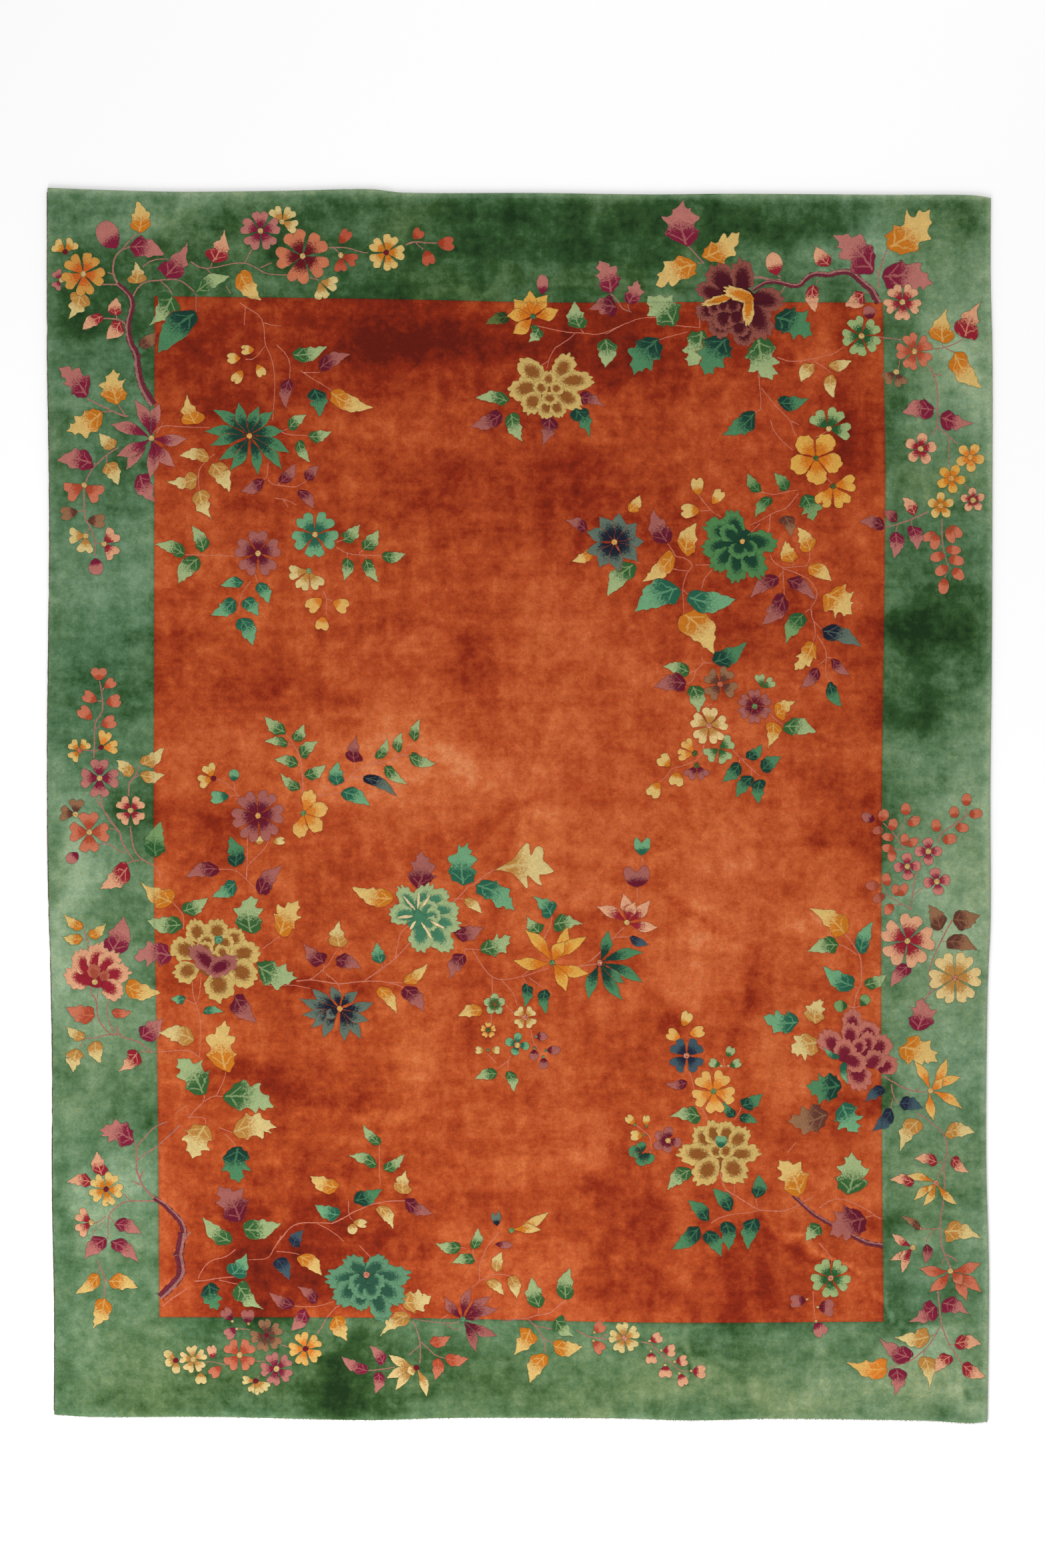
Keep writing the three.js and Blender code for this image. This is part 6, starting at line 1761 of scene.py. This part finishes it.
RING_SIDES, YARN_SIDES, CORE_SIDES = 9, 5, 7
LEAN_LEAST, LEAN_MOST = (1.35, -0.12, -0.2), (1.8, 0.12, 0.2)
overcast, given, add, end = geometry_tree(
    "overcast", {"Pitch": 0.005, "Radius": 0.003, "Yarn": 0.001, "Unevenness": 0.15, "Seed": 1}
)
path, radius, seed = given["Geometry"], given["Radius"], given["Seed"]
turns = add("GeometryNodeResampleCurve", {"mode": "LENGTH"}, {"Curve": path, "Length": given["Pitch"]})
loop = add("GeometryNodeCurvePrimitiveCircle", None, {"Resolution": RING_SIDES, "Radius": radius})
yarn = add("GeometryNodeCurvePrimitiveCircle", None, {"Resolution": YARN_SIDES, "Radius": given["Yarn"]})
turn = add("GeometryNodeCurveToMesh", None, {"Curve": loop, "Profile Curve": yarn})
leans = {0: LEAN_LEAST, 1: LEAN_MOST, "Seed": seed}
lean = add("FunctionNodeRandomValue", {"data_type": "FLOAT_VECTOR"}, leans)
least = add("ShaderNodeMath", {"operation": "SUBTRACT"}, {0: 1.0, 1: given["Unevenness"]})
size = add("FunctionNodeRandomValue", None, {2: least, 3: 1.0, "Seed": seed}, output=1)
placing = {"Points": turns, "Instance": turn, "Rotation": lean, "Scale": size}
wraps = add("GeometryNodeInstanceOnPoints", None, placing)
round_core = add("GeometryNodeCurvePrimitiveCircle", None, {"Resolution": CORE_SIDES, "Radius": radius})
core = add("GeometryNodeCurveToMesh", None, {"Curve": path, "Profile Curve": round_core, "Fill Caps": True})
end(core, wraps)


def yarn_material(name, dark, pale_shade):
    material, shader, place = new_material(name)
    tone = clouds(place, 34, 4, 0.7).rise(0.3, 0.7)
    shade = tone.mixed(colour(dark), colour(pale_shade))
    wool_finish(shader, place, shade)
    return material


CORD_X = 1345
CORD_POINTS = 330
CORD_WANDER = 1.2


def cord_line(sign, inset_of, radius):
    """The middle of a side cord, from the near end of the pile to the far one."""
    start, stop = (float(BACK_SIDES[k](sign * CORD_X)) for k in (2, 3))
    y = np.linspace(start, stop, CORD_POINTS)
    x = sign * (HALF_WIDTH - inset_of(y) - CORD_DIAMETER / 2)
    wander = np.random.default_rng(5 + sign).normal(0, CORD_WANDER, len(y))
    inwards = np.abs(np.convolve(wander, np.ones(3) / 3, "same")) * 0.8
    return np.column_stack([x - sign * inwards, y, np.full(len(y), radius)])


OLIVE_YARN = yarn_material("olive-brown yarn", dyed(52, 40, 20), dyed(112, 92, 56))
BROWN_YARN = yarn_material("brown yarn", dyed(96, 88, 62), dyed(150, 146, 114))
for name, sign, inset_of, radius, yarn_radius, pitch, material in (
    ("left_overcast", -1, left_inset, 2.4, 1.0, 4.6, OLIVE_YARN),
    ("right_overcast", 1, right_inset, 1.7, 0.7, 3.6, BROWN_YARN),
):
    settings = {
        "Pitch": pitch * MM,
        "Radius": radius * MM,
        "Yarn": yarn_radius * MM,
        "Unevenness": 0.2,
        "Seed": 3 + sign,
        "Finish": material,
    }
    cord = run_tree(overcast, name, cord_line(sign, inset_of, radius + yarn_radius), settings)
    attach(cord, "root")
    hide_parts("side_cord_left" if sign < 0 else "side_cord_right")

# ---------------------------------------------------------------- the ends and their cut warps
# At each end a few rows of plain cotton web lie past the last knots, and the warps are cut off close to it
# in small frayed bundles. The near end's are cream and coarse, and the far end's finer and stained green.

WEB_THICKNESS = 2.6
TUFT_SIDES = 6
STRAY_LEAST, STRAY_MOST = (-0.12, 0.0, -0.45), (0.06, 0.0, 0.45)
SPREAD_LEAST, SPREAD_MOST = (0.6, 0.35, 0.7), (1.15, 0.55, 1.0)
fringe, given, add, end = geometry_tree(
    "cut_warps",
    {
        "Pitch": 0.009, "Length": 0.007, "Width": 0.003, "Turn": 0.0,
        "Web": 0.005, "Thickness": 0.0026, "Seed": 1,
    },
)
path, width, seed = given["Geometry"], given["Width"], given["Seed"]
as_vector = {"data_type": "FLOAT_VECTOR"}
roots = add("GeometryNodeResampleCurve", {"mode": "LENGTH"}, {"Curve": path, "Length": given["Pitch"]})
narrow = add("ShaderNodeMath", {"operation": "MULTIPLY"}, {0: width, 1: 0.4})
cone = {"Vertices": TUFT_SIDES, "Side Segments": 2, "Radius Top": narrow, "Radius Bottom": width}
tuft = add("GeometryNodeMeshCone", None, cone | {"Depth": given["Length"]})
down = add("ShaderNodeCombineXYZ", None, {0: -math.pi / 2, 2: given["Turn"]})
least = add("ShaderNodeVectorMath", {"operation": "ADD"}, {0: down, 1: STRAY_LEAST})
most = add("ShaderNodeVectorMath", {"operation": "ADD"}, {0: down, 1: STRAY_MOST})
lean = add("FunctionNodeRandomValue", as_vector, {0: least, 1: most, "Seed": seed})
spread = add("FunctionNodeRandomValue", as_vector, {0: SPREAD_LEAST, 1: SPREAD_MOST, "Seed": seed})
placing = {"Points": roots, "Instance": tuft, "Rotation": lean, "Scale": spread}
tufts = add("GeometryNodeInstanceOnPoints", None, placing)
strip = {"Width": given["Web"], "Height": given["Thickness"]}
flat_strip = add("GeometryNodeCurvePrimitiveQuadrilateral", None, strip)
web = add("GeometryNodeCurveToMesh", None, {"Curve": path, "Profile Curve": flat_strip, "Fill Caps": True})
end(web, tufts)


def cotton_material(name, pale_shade, dark, stain):
    material, shader, place = new_material(name)
    strands = clouds(place.maths("MULTIPLY", (900, 60, 200)), 1, 3, 0.6)
    shade = strands.rise(0.35, 0.65).mixed(colour(dark), colour(pale_shade))
    shade = (clouds(place, 22, 3).rise(0.45, 0.65) * 0.7).mixed(shade, colour(stain))
    shade.into(shader.inputs["Base Color"])
    bumped(shader, strands, 0.5, 0.8)
    evenly_set(shader, {"Roughness": 0.95, "Specular IOR Level": 0.15})
    return material


CREAM = cotton_material("cream cotton", dyed(204, 190, 154), dyed(120, 106, 74), dyed(146, 132, 96))
STAINED = cotton_material("stained cotton", dyed(206, 202, 172), dyed(150, 150, 112), dyed(126, 148, 112))
WEB_Y = 1750
WEB_POINTS = 300
for name, sign, inset_of, pitch, length, width, material in (
    ("near_warps", -1, near_inset, 5, 13.5, 2.2, CREAM),
    ("far_warps", 1, far_inset, 4.6, 12.5, 1.8, STAINED),
):
    from_x, to_x = (float(BACK_SIDES[k](sign * WEB_Y)) for k in (0, 1))
    x = np.linspace(from_x, to_x, WEB_POINTS)
    middle = sign * (HALF_LENGTH - inset_of(x) - WARP_LENGTH - WEB_DEPTH / 2)
    settings = {
        "Pitch": pitch * MM,
        "Length": length * MM,
        "Width": width * MM,
        "Turn": 0.0 if sign > 0 else math.pi,
        "Web": WEB_DEPTH * MM,
        "Thickness": WEB_THICKNESS * MM,
        "Seed": 9 + sign,
        "Finish": material,
    }
    line = np.column_stack([x, middle, np.full(len(x), WEB_THICKNESS / 2)])
    warps = run_tree(fringe, name, line, settings)
    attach(warps, "root")
    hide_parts("end_web_far" if sign > 0 else "end_web_near")

# ---------------------------------------------------------------- the room
# A plain white floor under soft studio light that comes a little from the near end, and a camera straight
# above the middle of the carpet.

FLOOR_SIZE = 40
FLOOR_TOP = -0.0005
bpy.ops.mesh.primitive_plane_add(size=FLOOR_SIZE, location=(0, 0, FLOOR_TOP))
floor = bpy.context.object
floor.name = "floor"
floor_material, shader, _ = new_material("white floor")
evenly_set(shader, {"Base Color": (0.97, 0.97, 0.97, 1), "Roughness": 0.9, "Specular IOR Level": 0.1})
floor.data.materials.append(floor_material)

world = bpy.data.worlds.new("studio")
world.use_nodes = True
evenly_set(world.node_tree.nodes["Background"], {"Color": (1, 1, 1, 1), "Strength": 0.71})
bpy.context.scene.world = world
bpy.context.scene.view_settings.view_transform = "Standard"

LAMPS = [
    # name, place in metres, size, watts, aimed at
    ("near softbox", (-1.6, -4.6, 3.4), 2.6, 190, (0, -0.2, 0)),
    ("far fill", (1.2, 4.8, 4.5), 3.5, 70, (0, 0, 0)),
]
for name, place_of, size, watts, aim in LAMPS:
    lamp = bpy.data.lights.new(name, "AREA")
    lamp.size = size
    lamp.energy = watts
    holder = bpy.data.objects.new(name, lamp)
    holder.location = place_of
    away = np.array(aim) - np.array(place_of)
    tilt = math.atan2(math.hypot(away[0], away[1]), -away[2])
    holder.rotation_euler = (tilt, 0, math.atan2(away[1], away[0]) - math.pi / 2)
    bpy.context.collection.objects.link(holder)

CAMERA_HEIGHT = 8.0
FRAME_HEIGHT = 4.48
FRAME_MIDDLE = (0.0076, 0.062)
SENSOR = 36
camera_data = bpy.data.cameras.new("camera")
camera_data.sensor_width = SENSOR
camera_data.lens = SENSOR * CAMERA_HEIGHT / FRAME_HEIGHT
camera = bpy.data.objects.new("camera", camera_data)
camera.location = (*FRAME_MIDDLE, CAMERA_HEIGHT)
bpy.context.collection.objects.link(camera)
bpy.context.scene.camera = camera
